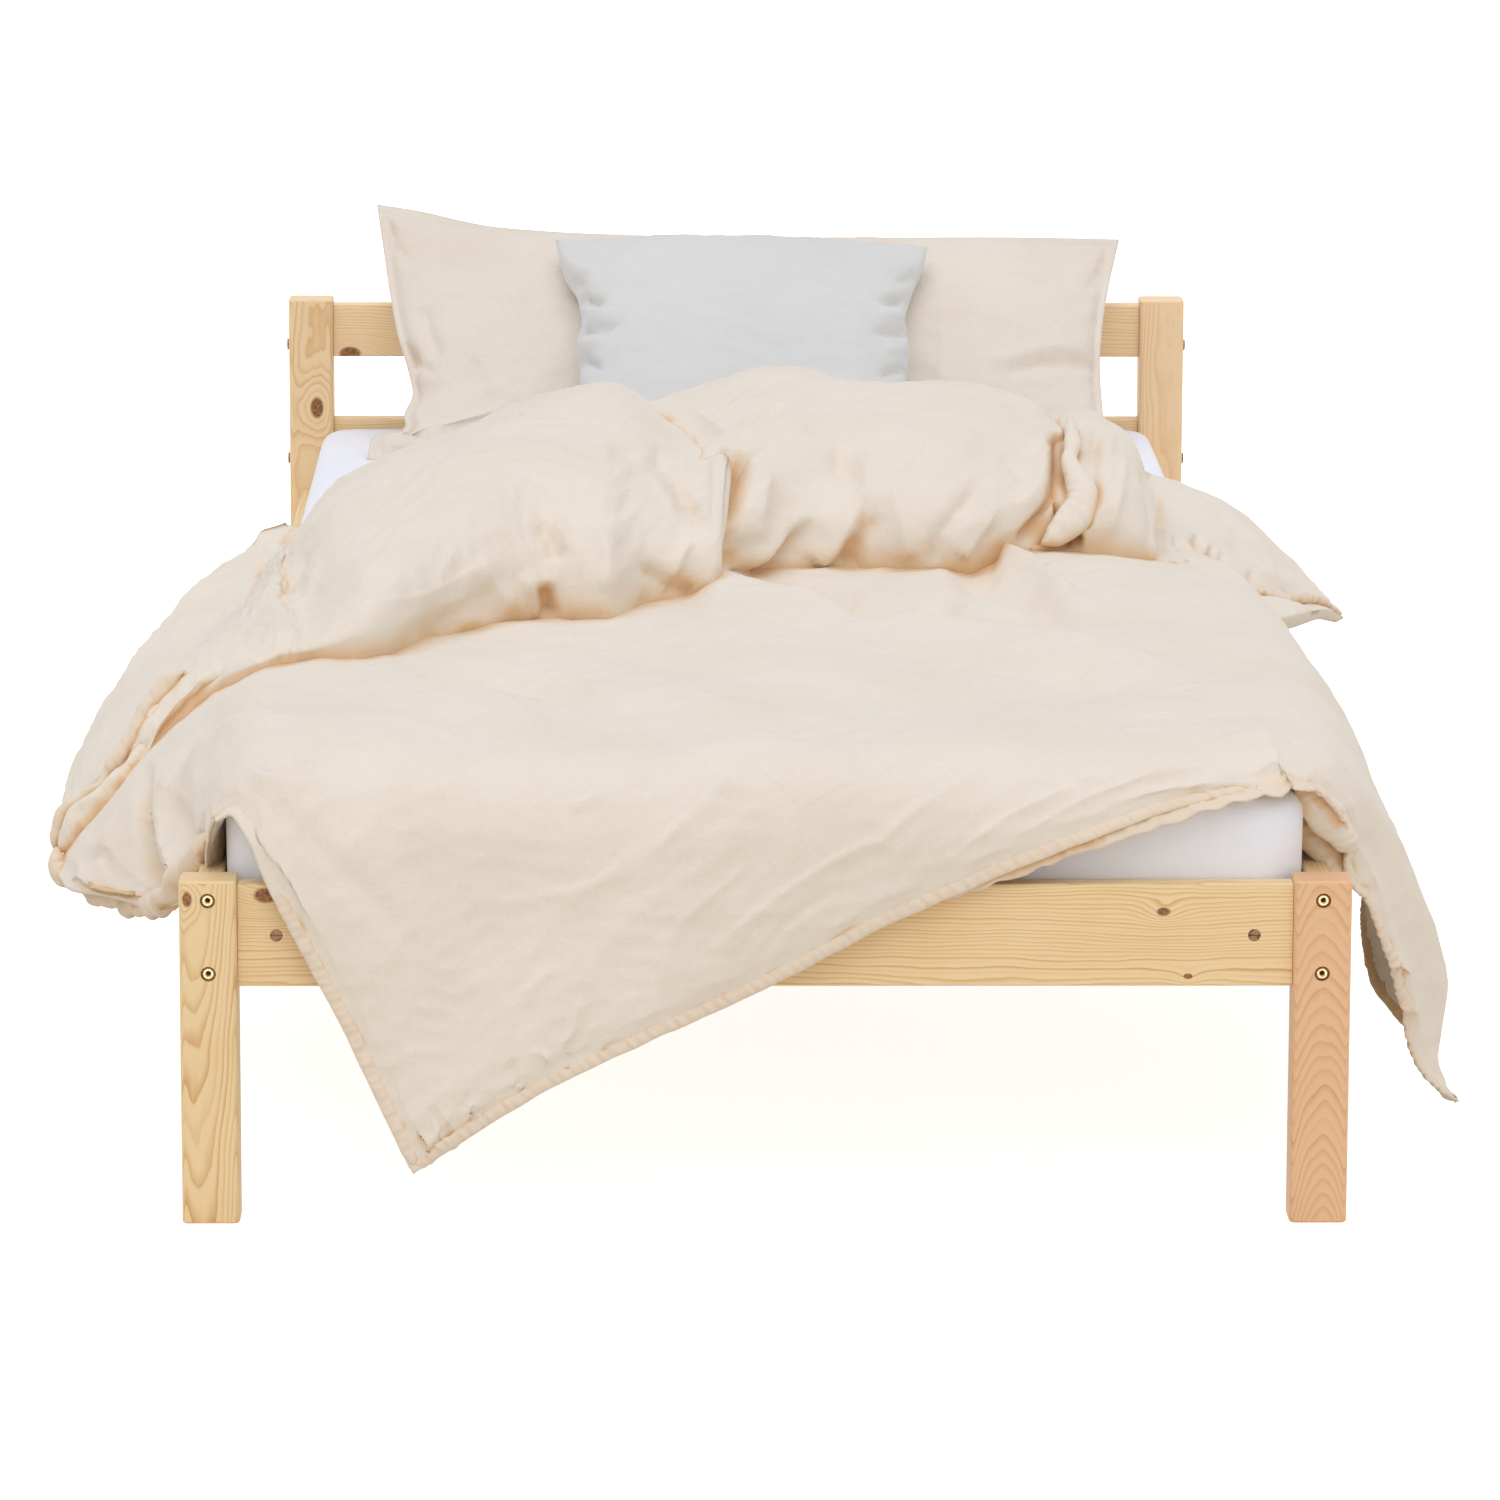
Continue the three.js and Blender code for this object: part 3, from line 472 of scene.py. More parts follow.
def pineMaterial(name, middle, board):
    s = pineSettings
    material, tree, shader = newMaterial("lacqueredPine_" + name, Roughness=0.5, IOR=1.5, Coat_Weight=0.12)
    shader.inputs["Coat Roughness"].default_value = 0.35
    coords = addNode(tree, "ShaderNodeTexCoord").outputs["Object"]
    inMm = addNode(tree, "ShaderNodeMapping",
                   {"Vector": coords, "Scale": (1000, 1000, 1000), "Location": [-1000 * m for m in middle]})
    split = addNode(tree, "ShaderNodeSeparateXYZ", (inMm,))
    long, deep, wide = (split.outputs[axis] for axis in grainOrder[board["grain"]])
    noises = []
    for fineLong, fineAcross in (s["wanderFine"], s["fibreFine"]):
        place = [addNode(tree, "ShaderNodeMath", (way, fine), operation="MULTIPLY")
                 for way, fine in ((long, fineLong), (deep, fineAcross), (wide, fineAcross))]
        place = addNode(tree, "ShaderNodeCombineXYZ", place)
        noises.append(addNode(tree, "ShaderNodeTexNoise", {"Vector": place, "Scale": 1.0, "Detail": 3.0}))
    wander, fibre = noises

    # the rings lie round the pith, which wanders slowly along the board
    squares = []
    for way, pith, taper in zip((deep, wide), board["pith"], board["taper"][::-1]):
        pith = addNode(tree, "ShaderNodeMath", (long, taper, pith), operation="MULTIPLY_ADD")
        away = addNode(tree, "ShaderNodeMath", (way, pith), operation="SUBTRACT")
        squares.append(addNode(tree, "ShaderNodeMath", (away, away), operation="MULTIPLY"))
    square = addNode(tree, "ShaderNodeMath", squares, operation="ADD")
    distance = addNode(tree, "ShaderNodeMath", (square,), operation="SQRT")
    strayed = addNode(tree, "ShaderNodeMath", (wander, 0.5), operation="SUBTRACT")
    drift = addNode(tree, "ShaderNodeMath", (strayed, board.get("wander", s["wander"])), operation="MULTIPLY")
    radius = addNode(tree, "ShaderNodeMath", (distance, drift), operation="ADD")

    # and bend round each knot
    knotMask = None
    swirlReach, swirlStrength = s["knotSwirl"]
    rim, core = s["knotEdge"]
    for place, across, size in board["knots"]:
        offLong = addNode(tree, "ShaderNodeMath", (long, place), operation="SUBTRACT")
        offLong = addNode(tree, "ShaderNodeMath", (offLong, s["knotLong"]), operation="MULTIPLY")
        offWide = addNode(tree, "ShaderNodeMath", (wide, across), operation="SUBTRACT")
        squares = [addNode(tree, "ShaderNodeMath", (off, off), operation="MULTIPLY")
                   for off in (offLong, offWide)]
        square = addNode(tree, "ShaderNodeMath", squares, operation="ADD")
        away = addNode(tree, "ShaderNodeMath", (square,), operation="SQRT")
        square = addNode(tree, "ShaderNodeMath", (away, away), operation="MULTIPLY")
        steep = -0.5 / (swirlReach * size) ** 2
        fall = addNode(tree, "ShaderNodeMath", (square, steep), operation="MULTIPLY")
        swirl = addNode(tree, "ShaderNodeMath", (fall,), operation="EXPONENT")
        radius = addNode(tree, "ShaderNodeMath", (swirl, size * swirlStrength, radius),
                         operation="MULTIPLY_ADD")
        mask = addNode(tree, "ShaderNodeMapRange", (away, size * rim, size * core, 0.0, 1.0),
                       interpolation_type="SMOOTHSTEP")
        if knotMask:
            mask = addNode(tree, "ShaderNodeMath", (knotMask, mask), operation="MAXIMUM")
        knotMask = mask

    # late wood darkens each ring towards its outside, and some years grew darker than others
    fine = addNode(tree, "ShaderNodeTexNoise", {"Vector": inMm, "Scale": 0.05, "Detail": 2.0})
    count = addNode(tree, "ShaderNodeMath", (radius, board["rings"]), operation="DIVIDE")
    count = addNode(tree, "ShaderNodeMath", (fine, s["ringUneven"], count), operation="MULTIPLY_ADD")
    inRing = addNode(tree, "ShaderNodeMath", (count,), operation="FRACT")
    line = addNode(tree, "ShaderNodeValToRGB", (inRing,), s["lateWood"])
    ring = addNode(tree, "ShaderNodeMath", (count,), operation="FLOOR")
    year = addNode(tree, "ShaderNodeTexNoise", {"W": ring, "Scale": 0.9, "Detail": 0.0},
                   noise_dimensions="1D")
    year = addNode(tree, "ShaderNodeMath", (year, *s["years"]), operation="MULTIPLY_ADD")
    amount = addNode(tree, "ShaderNodeMath", (line, year), operation="MULTIPLY")
    cloudy = addNode(tree, "ShaderNodeTexNoise", {"Vector": inMm, "Scale": 0.011, "Detail": 2.0})
    for noise, share in ((fibre, s["fibreTone"]), (cloudy, s["cloudTone"])):
        tone = addNode(tree, "ShaderNodeMath", (noise, 0.5), operation="SUBTRACT")
        tone = addNode(tree, "ShaderNodeMath", (tone, share), operation="MULTIPLY")
        amount = addNode(tree, "ShaderNodeMath", (amount, tone), operation="ADD")
    colour = addNode(tree, "ShaderNodeValToRGB", (amount,), [(0.0, board["pale"]), (1.0, board["dark"])])
    colour = colour.outputs[0]
    if knotMask:
        spot = addNode(tree, "ShaderNodeTexNoise", {"Vector": inMm, "Scale": 0.35, "Detail": 3.0})
        dark = addNode(tree, "ShaderNodeValToRGB", (spot,), s["knotTones"])
        mix = addNode(tree, "ShaderNodeMix", {0: knotMask, 6: colour, 7: dark}, data_type="RGBA")
        colour = mix.outputs[2]
    tree.links.new(colour, shader.inputs["Base Color"])
    relief = addNode(tree, "ShaderNodeMath", (line, 0.8), operation="MULTIPLY")
    relief = addNode(tree, "ShaderNodeMath", (fibre, 0.6, relief), operation="MULTIPLY_ADD")
    bump = addNode(tree, "ShaderNodeBump", {"Height": relief, "Strength": 0.35, "Distance": 0.00025})
    tree.links.new(bump.outputs[0], shader.inputs["Normal"])
    return material


def finishNode(name, material):
    nodes[name].data.materials.clear()
    nodes[name].data.materials.append(material)


for name, board in pineBoards.items():
    low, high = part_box(name)
    finishNode(name, pineMaterial(name, (low + high) / 2, board))
slatWood = pineMaterial("slats", (0, 0, 0.2), slatBoard)
ledgeWood = pineMaterial("ledges", (0, 0, 0.2), ledgeBoard)
for name in nodes:
    if name.startswith("slat_") and "tape" not in name:
        finishNode(name, ledgeWood if "ledge" in name else slatWood)
print("pine done")


# Bolts, barrel nuts, tapes and mattress core
# Yellow zinc plate on steel: bright, warm, slightly uneven sheen from the chromate bath. The barrel nuts and
# the collars are the same plate, darker and browner.
zincSettings = {
    "bright": ("#cdb184", "#f2e2b6", "#d8ab9c"),
    "dull": ("#55402f", "#8d6f52", "#5e4536"),
    "cloudScale": 260.0,  # per metre: clouds about 4 mm wide
    "cloudAt": (0.3, 0.52, 0.75),
    "socket": 0.5,  # share of the head's width that the painted shade of the hex socket takes up
    "socketEdge": (0.5, 0.42),  # where it starts to turn dark and is dark, in its widths
    # painted shade inside the hex socket
    "paintedSocketShade": "#2a211a",
    "cloudRange": (0.3, 0.7),  # between which the roughness goes from one to the other
    "roughness": (0.2, 0.38),
}


def zincMaterial(name, colours, axis, socket=0.0):
    # "axis" is the way the bolt points
    s = zincSettings
    material, tree, shader = newMaterial(name, Metallic=1.0, Roughness=0.28)
    texture = addNode(tree, "ShaderNodeTexCoord")
    bath = addNode(tree, "ShaderNodeTexNoise",
                   {"Vector": texture.outputs["Object"], "Scale": s["cloudScale"], "Detail": 3.0})
    colour = addNode(tree, "ShaderNodeValToRGB", (bath,), list(zip(s["cloudAt"], colours)))
    # painted shade: the middle of each head is painted dark, for the shade inside its hex socket
    centred = addNode(tree, "ShaderNodeMapping",
                      {"Vector": texture.outputs["Generated"], "Location": (-0.5, -0.5, -0.5)})
    across = addNode(tree, "ShaderNodeVectorMath", (centred, (axis != "x", axis != "y", 1)),
                     operation="MULTIPLY")
    away = addNode(tree, "ShaderNodeVectorMath", (across,), operation="LENGTH").outputs["Value"]
    rim, core = (socket * share for share in s["socketEdge"])
    inSocket = addNode(tree, "ShaderNodeMapRange", (away, rim, core, 0.0, 1.0))
    mix = addNode(tree, "ShaderNodeMix", {0: inSocket, 6: colour, 7: srgb(s["paintedSocketShade"])}, data_type="RGBA")
    tree.links.new(mix.outputs[2], shader.inputs["Base Color"])
    rough = addNode(tree, "ShaderNodeMapRange", (bath, *s["cloudRange"], *s["roughness"]))
    tree.links.new(rough.outputs[0], shader.inputs["Roughness"])
    return material


# Woven cotton and polyester cloth: a matt surface with a fuzzy sheen at grazing angles. Scales are per mm and
# depths in metres. "threadSpacing", in mm, is coarser than the real 0.4, so that the weave shows. "crumple"
# and "creaseSpacing" are the sizes, in mm, of crumples and of the fields between pressed lines.
cloths = {
    "webbing": {"colour": "#ebe8e1", "shade": "#dcd8cf", "threadSpacing": 1.2,
                "crumple": 40, "crumpleDepth": 0.1, "creaseSpacing": 200, "creaseDepth": 0.0},
    "ticking": {"colour": "#f3f2ee", "shade": "#eae8e2", "threadSpacing": 1.6,
                "crumple": 30, "crumpleDepth": 0.2, "creaseSpacing": 200, "creaseDepth": 0.0},
    "sheetJersey": {"colour": "#f5f7fe", "shade": "#f0f2fa", "threadSpacing": 1.0,
                    "crumple": 60, "crumpleDepth": 0.12, "creaseSpacing": 300, "creaseDepth": 0.0},
    # the last colour of the duvet and of the pillow is painted shade, for their folds, hollows and gaps
    "duvetCotton": {"colour": "#ece3d5", "shade": "#e7dccc", "paintedShadeColour": "#e4c399", "threadSpacing": 1.1,
                    "crumple": 30, "crumpleDepth": 0.36, "creaseSpacing": 95, "creaseDepth": 0.2},
    "pillowCotton": {"colour": "#e8ded1", "shade": "#e2d6c6", "paintedShadeColour": "#d8b990", "threadSpacing": 1.1,
                     "crumple": 26, "crumpleDepth": 0.36, "creaseSpacing": 80, "creaseDepth": 0.1},
    "cushionCotton": {"colour": "#dbdbd8", "shade": "#d5d5d2", "threadSpacing": 1.3,
                      "crumple": 30, "crumpleDepth": 0.2, "creaseSpacing": 150, "creaseDepth": 0.08},
}
clothSettings = {
    "patchScale": 0.008,
    "slubScale": 0.25,
    "slubShare": 0.45,  # of the tone, the rest is the patches'
    "toneAt": (0.35, 0.62),
    "weave": {"Strength": 0.12, "Distance": 0.0002},
    "crumpleReach": 0.004,
    "creaseReach": 0.003,
    "creaseBend": (0.006, 0.35),  # scale and share of the noise that bends the pressed lines
    "creaseWidth": 0.03,  # in fields
    "creasePatches": 0.009,
    "creaseShown": (0.48, 0.62),
}


def clothMaterial(name, cloth):
    s = clothSettings
    material, tree, shader = newMaterial(name, Roughness=0.92, IOR=1.45, Sheen_Weight=0.25)
    shader.inputs["Sheen Roughness"].default_value = 0.5
    shader.inputs["Specular IOR Level"].default_value = 0.2
    coords = addNode(tree, "ShaderNodeTexCoord").outputs["Object"]
    inMm = addNode(tree, "ShaderNodeMapping", {"Vector": coords, "Scale": (1000, 1000, 1000)})
    patch = addNode(tree, "ShaderNodeTexNoise", {"Vector": inMm, "Scale": s["patchScale"], "Detail": 3.0})
    slub = addNode(tree, "ShaderNodeTexNoise",
                   {"Vector": inMm, "Scale": s["slubScale"], "Detail": 4.0, "Roughness": 0.7})
    tone = addNode(tree, "ShaderNodeMix", {0: s["slubShare"], 2: patch, 3: slub})
    tones = list(zip(s["toneAt"], (cloth["shade"], cloth["colour"])))
    colour = addNode(tree, "ShaderNodeValToRGB", (tone,), tones).outputs[0]
    if cloth.get("paintedShadeColour"):
        # painted shade: the colour turns darker and warmer where the "fold" mark says other cloth is near, in
        # folds, hollows and gaps
        fold = addNode(tree, "ShaderNodeAttribute", attribute_name="fold").outputs["Fac"]
        mix = addNode(tree, "ShaderNodeMix", {0: fold, 6: colour, 7: srgb(cloth["paintedShadeColour"])},
                      data_type="RGBA")
        colour = mix.outputs[2]
    tree.links.new(colour, shader.inputs["Base Color"])
    split = addNode(tree, "ShaderNodeSeparateXYZ", (inMm,))
    threads = []
    for way in split.outputs:
        turn = addNode(tree, "ShaderNodeMath", (way, math.pi / cloth["threadSpacing"]), operation="MULTIPLY")
        threads.append(addNode(tree, "ShaderNodeMath", (turn,), operation="SINE"))
    weave = addNode(tree, "ShaderNodeMath", threads[:2], operation="MULTIPLY")
    weave = addNode(tree, "ShaderNodeMath", (weave, threads[2]), operation="ADD")
    bump = addNode(tree, "ShaderNodeBump", dict(s["weave"], Height=weave))
    rumple = addNode(tree, "ShaderNodeTexNoise",
                     {"Vector": inMm, "Scale": 1 / cloth["crumple"], "Detail": 5.0, "Roughness": 0.62,
                      "Distortion": 0.6})
    bump = addNode(tree, "ShaderNodeBump",
                   {"Height": rumple, "Normal": bump, "Strength": cloth["crumpleDepth"],
                    "Distance": s["crumpleReach"]})
    # pressed-in crease lines, left from folding
    bendScale, bendShare = s["creaseBend"]
    bent = addNode(tree, "ShaderNodeTexNoise", {"Vector": inMm, "Scale": bendScale, "Detail": 2.0})
    moved = addNode(tree, "ShaderNodeMix", {0: bendShare, 4: inMm, 5: bent.outputs["Color"]},
                    data_type="VECTOR")
    cells = addNode(tree, "ShaderNodeTexVoronoi",
                    {"Vector": moved.outputs[1], "Scale": 1 / cloth["creaseSpacing"]},
                    feature="DISTANCE_TO_EDGE")
    lines = addNode(tree, "ShaderNodeMapRange", (cells, 0.0, s["creaseWidth"], 1.0, 0.0),
                    interpolation_type="SMOOTHSTEP")
    patchy = addNode(tree, "ShaderNodeTexNoise", {"Vector": inMm, "Scale": s["creasePatches"], "Detail": 1.0})
    shown = addNode(tree, "ShaderNodeMapRange", (patchy, *s["creaseShown"], 0.0, 1.0))
    creases = addNode(tree, "ShaderNodeMath", (lines, shown), operation="MULTIPLY")
    bump = addNode(tree, "ShaderNodeBump",
                   {"Height": creases, "Normal": bump, "Strength": cloth["creaseDepth"],
                    "Distance": s["creaseReach"]})
    tree.links.new(bump.outputs[0], shader.inputs["Normal"])
    return material


clothMaterials = {name: clothMaterial(name, cloth) for name, cloth in cloths.items()}
zincPlate = {}
for axis in "xy":
    zincPlate[axis] = zincMaterial("yellowZincPlate" + axis.upper(), zincSettings["bright"], axis,
                                   zincSettings["socket"])
dullZinc = zincMaterial("dullZincPlate", zincSettings["dull"], "z")
for name in nodes:
    if name.startswith("bolt_"):
        finishNode(name, zincPlate["x" if "cross" in name else "y"])
    elif name.startswith("barrel_nut_"):
        finishNode(name, dullZinc)
    elif "tape" in name:
        finishNode(name, clothMaterials["webbing"])
finishNode("mattress", clothMaterials["ticking"])


# Collars round the heads of the bolts at the outsides of the head posts, which stand a little proud
collarSettings = {
    "radius": 5.9,  # mm, as all its lengths
    "proud": 2.6,
    "round": 0.8,
    "roundMiddle": 0.3,  # how far the middle of the round lies in, as a share of it
    "socket": 2.5,  # from its middle to a flat
    "deep": 1.6,
    "gap": 0.1,  # in front of the bolt's own head
    "sides": 36,
}


def makeCollar(name, boltName, postName):
    s = collarSettings
    boltLow, boltHigh = (1000 * np.array(corner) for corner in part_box(boltName))
    postLow, postHigh = (1000 * np.array(corner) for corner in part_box(postName))
    middle = (boltLow + boltHigh) / 2
    side = math.copysign(1, middle[0])
    face = max(side * postLow[0], side * postHigh[0])
    head = max(side * boltLow[0], side * boltHigh[0])
    front = face + s["proud"]
    turns = np.linspace(0, 2 * math.pi, s["sides"], endpoint=False)
    hexagon = s["socket"] / np.cos(np.mod(turns, math.pi / 3) - math.pi / 6)
    even = np.ones(s["sides"])
    ease = s["roundMiddle"] * s["round"]
    rows = [(head + s["gap"], s["radius"] * even), (front - s["round"], s["radius"] * even),
            (front - ease, (s["radius"] - ease) * even), (front, (s["radius"] - s["round"]) * even),
            (front, hexagon), (front - s["deep"], hexagon)]
    points = []
    for out, reach in rows:
        y, z = middle[1] + reach * np.cos(turns), middle[2] + reach * np.sin(turns)
        points.append(np.stack([side * out * even, y, z], axis=1))
    ends = [[side * rows[k][0], middle[1], middle[2]] for k in (0, -1)]
    last = (len(rows) - 1) * s["sides"]
    faces = []
    for k in range(s["sides"]):
        following = (k + 1) % s["sides"]
        for row in range(len(rows) - 1):
            start, end = row * s["sides"], (row + 1) * s["sides"]
            faces.append((start + k, start + following, end + following, end + k))
        faces.append((following, k, last + s["sides"]))
        faces.append((last + k, last + following, last + s["sides"] + 1))
    collar = meshObject(name, np.concatenate(points + [ends]), faces, "frame")
    collar.data.polygons.foreach_set("use_smooth", [False] * len(collar.data.polygons))
    collar.data.materials.append(dullZinc)


for sideName in ("left", "right"):
    for level in ("lower", "upper"):
        makeCollar(f"boltCollar{sideName.title()}{level.title()}", f"bolt_head_{sideName}_cross_{level}",
                   f"head_post_{sideName}")
print("metal and cloth materials done")


# Fitted sheet
# White cotton jersey stretched over the mattress, with its elastic tucked 90 mm under the edge.
sheetSettings = {
    "grid": 12,  # mm between points
    "corner": 40,
    "edge": 17,
    "tuck": 90,
    "thickness": 0.8,
    "under": 0.4,  # mm between the mattress's underside and the sheet
    "pull": 0.8,  # how deep the pull lines go
    "pullFrom": 40,  # mm below the top over which they start
    "pullFine": (9.0, 60, 11.0),  # mm: along the foot, leaning with height, along the sides
    "pullSwell": 70,
    "merge": 0.00005,  # metres between points that are the same
}


def squareToRound(a, b):
    # moves points of a square corner onto a quarter circle of the same size
    size = np.hypot(a, b)
    scale = np.where(size > 1e-9, np.maximum(np.abs(a), np.abs(b)) / np.maximum(size, 1e-9), 1)
    return a * scale, b * scale


def makeSheet():
    s = sheetSettings
    low, high = np.array(sheetLow) * 1000, np.array(sheetHigh) * 1000
    low[2] = mattressLow.z * 1000 + s["under"]
    middle, half = (low + high) / 2, (high - low) / 2
    counts = np.maximum(np.round(2 * half / s["grid"]).astype(int), 4)
    points, faces = [], []
    for axis in range(3):
        for sign in (-1, 1):
            u, v = [k for k in range(3) if k != axis]
            lines = [np.linspace(-1, 1, counts[k] + 1) for k in (u, v)]
            a, b = np.meshgrid(*lines, indexing="ij")
            grid = np.zeros(a.shape + (3,))
            grid[..., u], grid[..., v], grid[..., axis] = a, b, sign
            start = sum(len(p) for p in points)
            points.append(grid.reshape(-1, 3))
            quads = gridFaces(counts[u] + 1, counts[v] + 1, start, flip=(sign > 0) == (axis == 1))
            if axis == 2 and sign < 0:  # the underside is open inside the elastic
                centre = points[-1][quads - start].mean(1) * half
                reach = half - s["tuck"]
                quads = quads[(np.abs(centre[:, 0]) > reach[0]) | (np.abs(centre[:, 1]) > reach[1])]
            faces.append(quads)
    p = np.concatenate(points) * half
    # round the four upright corners
    inner = half[:2] - s["corner"]
    core = np.clip(p[:, :2], -inner, inner)
    a, b = squareToRound(*(p[:, :2] - core).T)
    p[:, 0], p[:, 1] = core[:, 0] + a, core[:, 1] + b
    # round the top and bottom edges
    off = p[:, :2] - core
    reach = np.maximum(np.hypot(off[:, 0], off[:, 1]), 1e-9)
    inset = np.clip(s["corner"] - reach, 0, None)
    rim = np.clip(s["edge"] - inset, 0, None)
    steep = np.sign(p[:, 2]) * np.clip(np.abs(p[:, 2]) - (half[2] - s["edge"]), 0, None)
    out, upward = squareToRound(rim, steep)
    p[:, :2] = core + off * ((reach - rim + out) / reach)[:, None]
    p[:, 2] += upward - steep
    world = p + middle
    # soft pull lines down the sides and at the corners
    side = smoothstep(half[2], half[2] - s["pullFrom"], np.abs(p[:, 2]))
    upright = (inset < s["edge"]).astype(float) * side
    fineFoot, lean, fineSide = s["pullFine"]
    x, y, z = world.T
    fine = 0.5 * np.sin(x / fineFoot + z / lean) * np.sin(y / fineSide + 1)
    ripple = fine + 0.5 * waves(x, y + 0.4 * z, s["pullSwell"], 5)
    world[:, :2] -= off / reach[:, None] * (np.abs(ripple) * upright * s["pull"])[:, None]
    faces = np.concatenate(faces)
    sheet = meshObject("fittedSheet", world, faces.tolist(), None)
    work = bmesh.new()
    work.from_mesh(sheet.data)
    bmesh.ops.remove_doubles(work, verts=work.verts, dist=s["merge"])
    bmesh.ops.delete(work, geom=[v for v in work.verts if not v.link_faces], context="VERTS")
    bmesh.ops.recalc_face_normals(work, faces=work.faces)
    work.to_mesh(sheet.data)
    work.free()
    skin = sheet.modifiers.new("skin", "SOLIDIFY")
    skin.thickness = s["thickness"] / 1000
    skin.offset = -1
    sheet.data.materials.append(clothMaterials["sheetJersey"])
    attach(sheet, "mattress")
    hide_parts("fitted_sheet")
    return sheet


fittedSheet = makeSheet()
print("fitted sheet done")


# Stuffed pillow and cushion
# Each is drawn by its seam as the photograph shows it, in pixels, on the slanted plane through its middle.
pillowSettings = {
    "foot": (1774, 3),  # the plane's foot and top: mm along the bed, mm above the sheet
    "top": (2057, 214),
    "grid": 4,  # mm between points
    "thickness": 118,
    "flange": 9,
    "groove": 2.6,  # mm, along the stitching
    "foldScale": 1.5,
    "wrinkle": 70,
    "seamLeft": [(377, 205), (383, 246), (391, 300), (399, 340), (408, 370), (412, 398), (404, 416),
                 (405, 427), (391, 434), (376, 436), (367, 460)],
    "seamTop": [(375, 205), (419, 212), (458, 221), (483, 226), (534, 231), (643, 236), (760, 238),
                (900, 238), (1020, 238), (1119, 240)],
    "seamRight": [(1119, 240), (1108, 290), (1102, 330), (1100, 368), (1102, 403), (1106, 440)],
    "seamBottom": [(367, 460), (392, 463), (430, 460), (520, 446), (700, 438), (900, 438), (1106, 440)],
}
pillowFolds = {
    "ironAcrossLeft": ([(412, 310), (435, 297), (469, 292), (524, 294), (580, 298)], 1.5, 3, 5, 0.1, 0.02),
    "ironAcrossRight": ([(906, 309), (957, 310), (997, 317), (1042, 327)], 1.5, 3, 5, 0.02, 0.3),
    "ironUp": ([(940, 290), (941, 330), (940, 380)], 1.6, 3, 3, 0.2, 0.02),
    "ironUpHigh": ([(932, 246), (933, 270), (935, 296)], 1.2, 3, 3, 0.02, 0.3),
    "rightFold1": ([(986, 366), (1027, 352), (1057, 349), (1092, 358)], 4, 6, 8, 0.2, 0.2),
    "rightFold2": ([(1000, 374), (1030, 364), (1060, 362), (1092, 372)], -4, 5, 8, 0.2, 0.2),
    "rightFold3": ([(1046, 336), (1072, 346), (1096, 364)], 3, 5, 7),
    "rightPull": ([(1110, 246), (1096, 280), (1080, 300)], -3, 5, 6, 0.05, 0.4),
    "leftFold1": ([(424, 306), (430, 334), (444, 360)], -3.5, 5, 8),
    "leftFold2": ([(470, 346), (486, 368), (492, 396)], 3, 6, 6),
    "leftFold3": ([(402, 344), (416, 362), (440, 372)], -5, 5, 7, 0.05, 0.4),
    "leftFold4": ([(410, 372), (430, 380), (460, 382)], 4, 5, 7, 0.05, 0.4),
    "leftPull": ([(386, 218), (400, 250), (420, 270)], -3, 5, 7, 0.05, 0.5),
    "tuck": ([(404, 424), (412, 432), (426, 436)], -4, 4, 5, 0.02, 0.4),
    "ear": ([(380, 446), (400, 446), (430, 440)], 3, 6, 7, 0.1, 0.4),
}
cushionFolds = {
    "left1": ([(562, 272), (574, 282), (592, 288)], -4, 4, 5, 0.02, 0.5),
    "left2": ([(572, 294), (588, 300), (612, 300)], -6, 4, 6, 0.02, 0.5),
    "left3": ([(579, 312), (596, 314), (620, 308)], 4, 4, 5, 0.02, 0.5),
    "left4": ([(580, 330), (600, 326), (628, 318)], -6, 4, 6, 0.02, 0.5),
    "left5": ([(577, 346), (596, 344), (616, 340)], 4, 4, 5, 0.02, 0.5),
    "left6": ([(578, 358), (592, 362), (606, 372)], -5, 4, 6, 0.02, 0.5),
    "left7": ([(560, 256), (580, 268), (606, 274)], 3, 5, 6, 0.02, 0.5),
    "right1": ([(920, 276), (906, 280), (892, 280)], -4, 4, 5, 0.02, 0.5),
    "right2": ([(910, 300), (896, 302), (876, 300)], -5, 4, 5, 0.02, 0.5),
    "right3": ([(905, 318), (890, 316), (872, 312)], 4, 4, 5, 0.02, 0.5),
    "right4": ([(906, 334), (890, 332), (868, 328)], -5, 4, 5, 0.02, 0.5),
    "right5": ([(908, 350), (892, 350), (874, 348)], 3, 4, 5, 0.02, 0.5),
    "right6": ([(905, 368), (890, 372), (876, 376)], -4, 4, 5, 0.02, 0.5),
}
cushionSettings = {
    "foot": (1602, 12),
    "top": (1928, 208),
    "grid": 3.6,
    "thickness": 116,
    "flange": 0,
    "groove": 0,
    "foldScale": 1.6,
    "wrinkle": 60,
    "seamLeft": [(556, 241), (561, 265), (566, 281), (574, 292), (580, 309), (581, 328), (577, 340),
                 (579, 362), (580, 400), (574, 440), (560, 478)],
    "seamTop": [(556, 241), (600, 242), (680, 242), (760, 243), (850, 246), (927, 248)],
    "seamRight": [(927, 248), (922, 272), (916, 285), (909, 304), (905, 319), (908, 338), (909, 356),
                  (905, 390), (914, 440), (926, 478)],
    "seamBottom": [(560, 478), (620, 470), (740, 468), (860, 471), (926, 478)],
}


stuffingSettings = {
    "crown": (2.6, 0.6),  # powers that shape the crown: how steeply it rises, how full it is
    "cloth": 1.0,  # mm on each side of the seam
    "swell": (0.02, 130, 60),  # share of the thickness, mm from one to the next, mm over which it fades in
    "wrinkle": (0.9, 2, 30),  # height, and mm from the seam between which it fades in
    "pucker": (1.6, 26, 16, 5),  # height, length, how far it reaches from the seam, fade-in
    "grooveWidth": 2.4,
    "foldFade": 6,
}


def planeNormal(s):
    # square to the slanted plane through a pillow's or cushion's middle
    return np.array([0, s["foot"][1] - s["top"][1], s["top"][0] - s["foot"][0]], float)


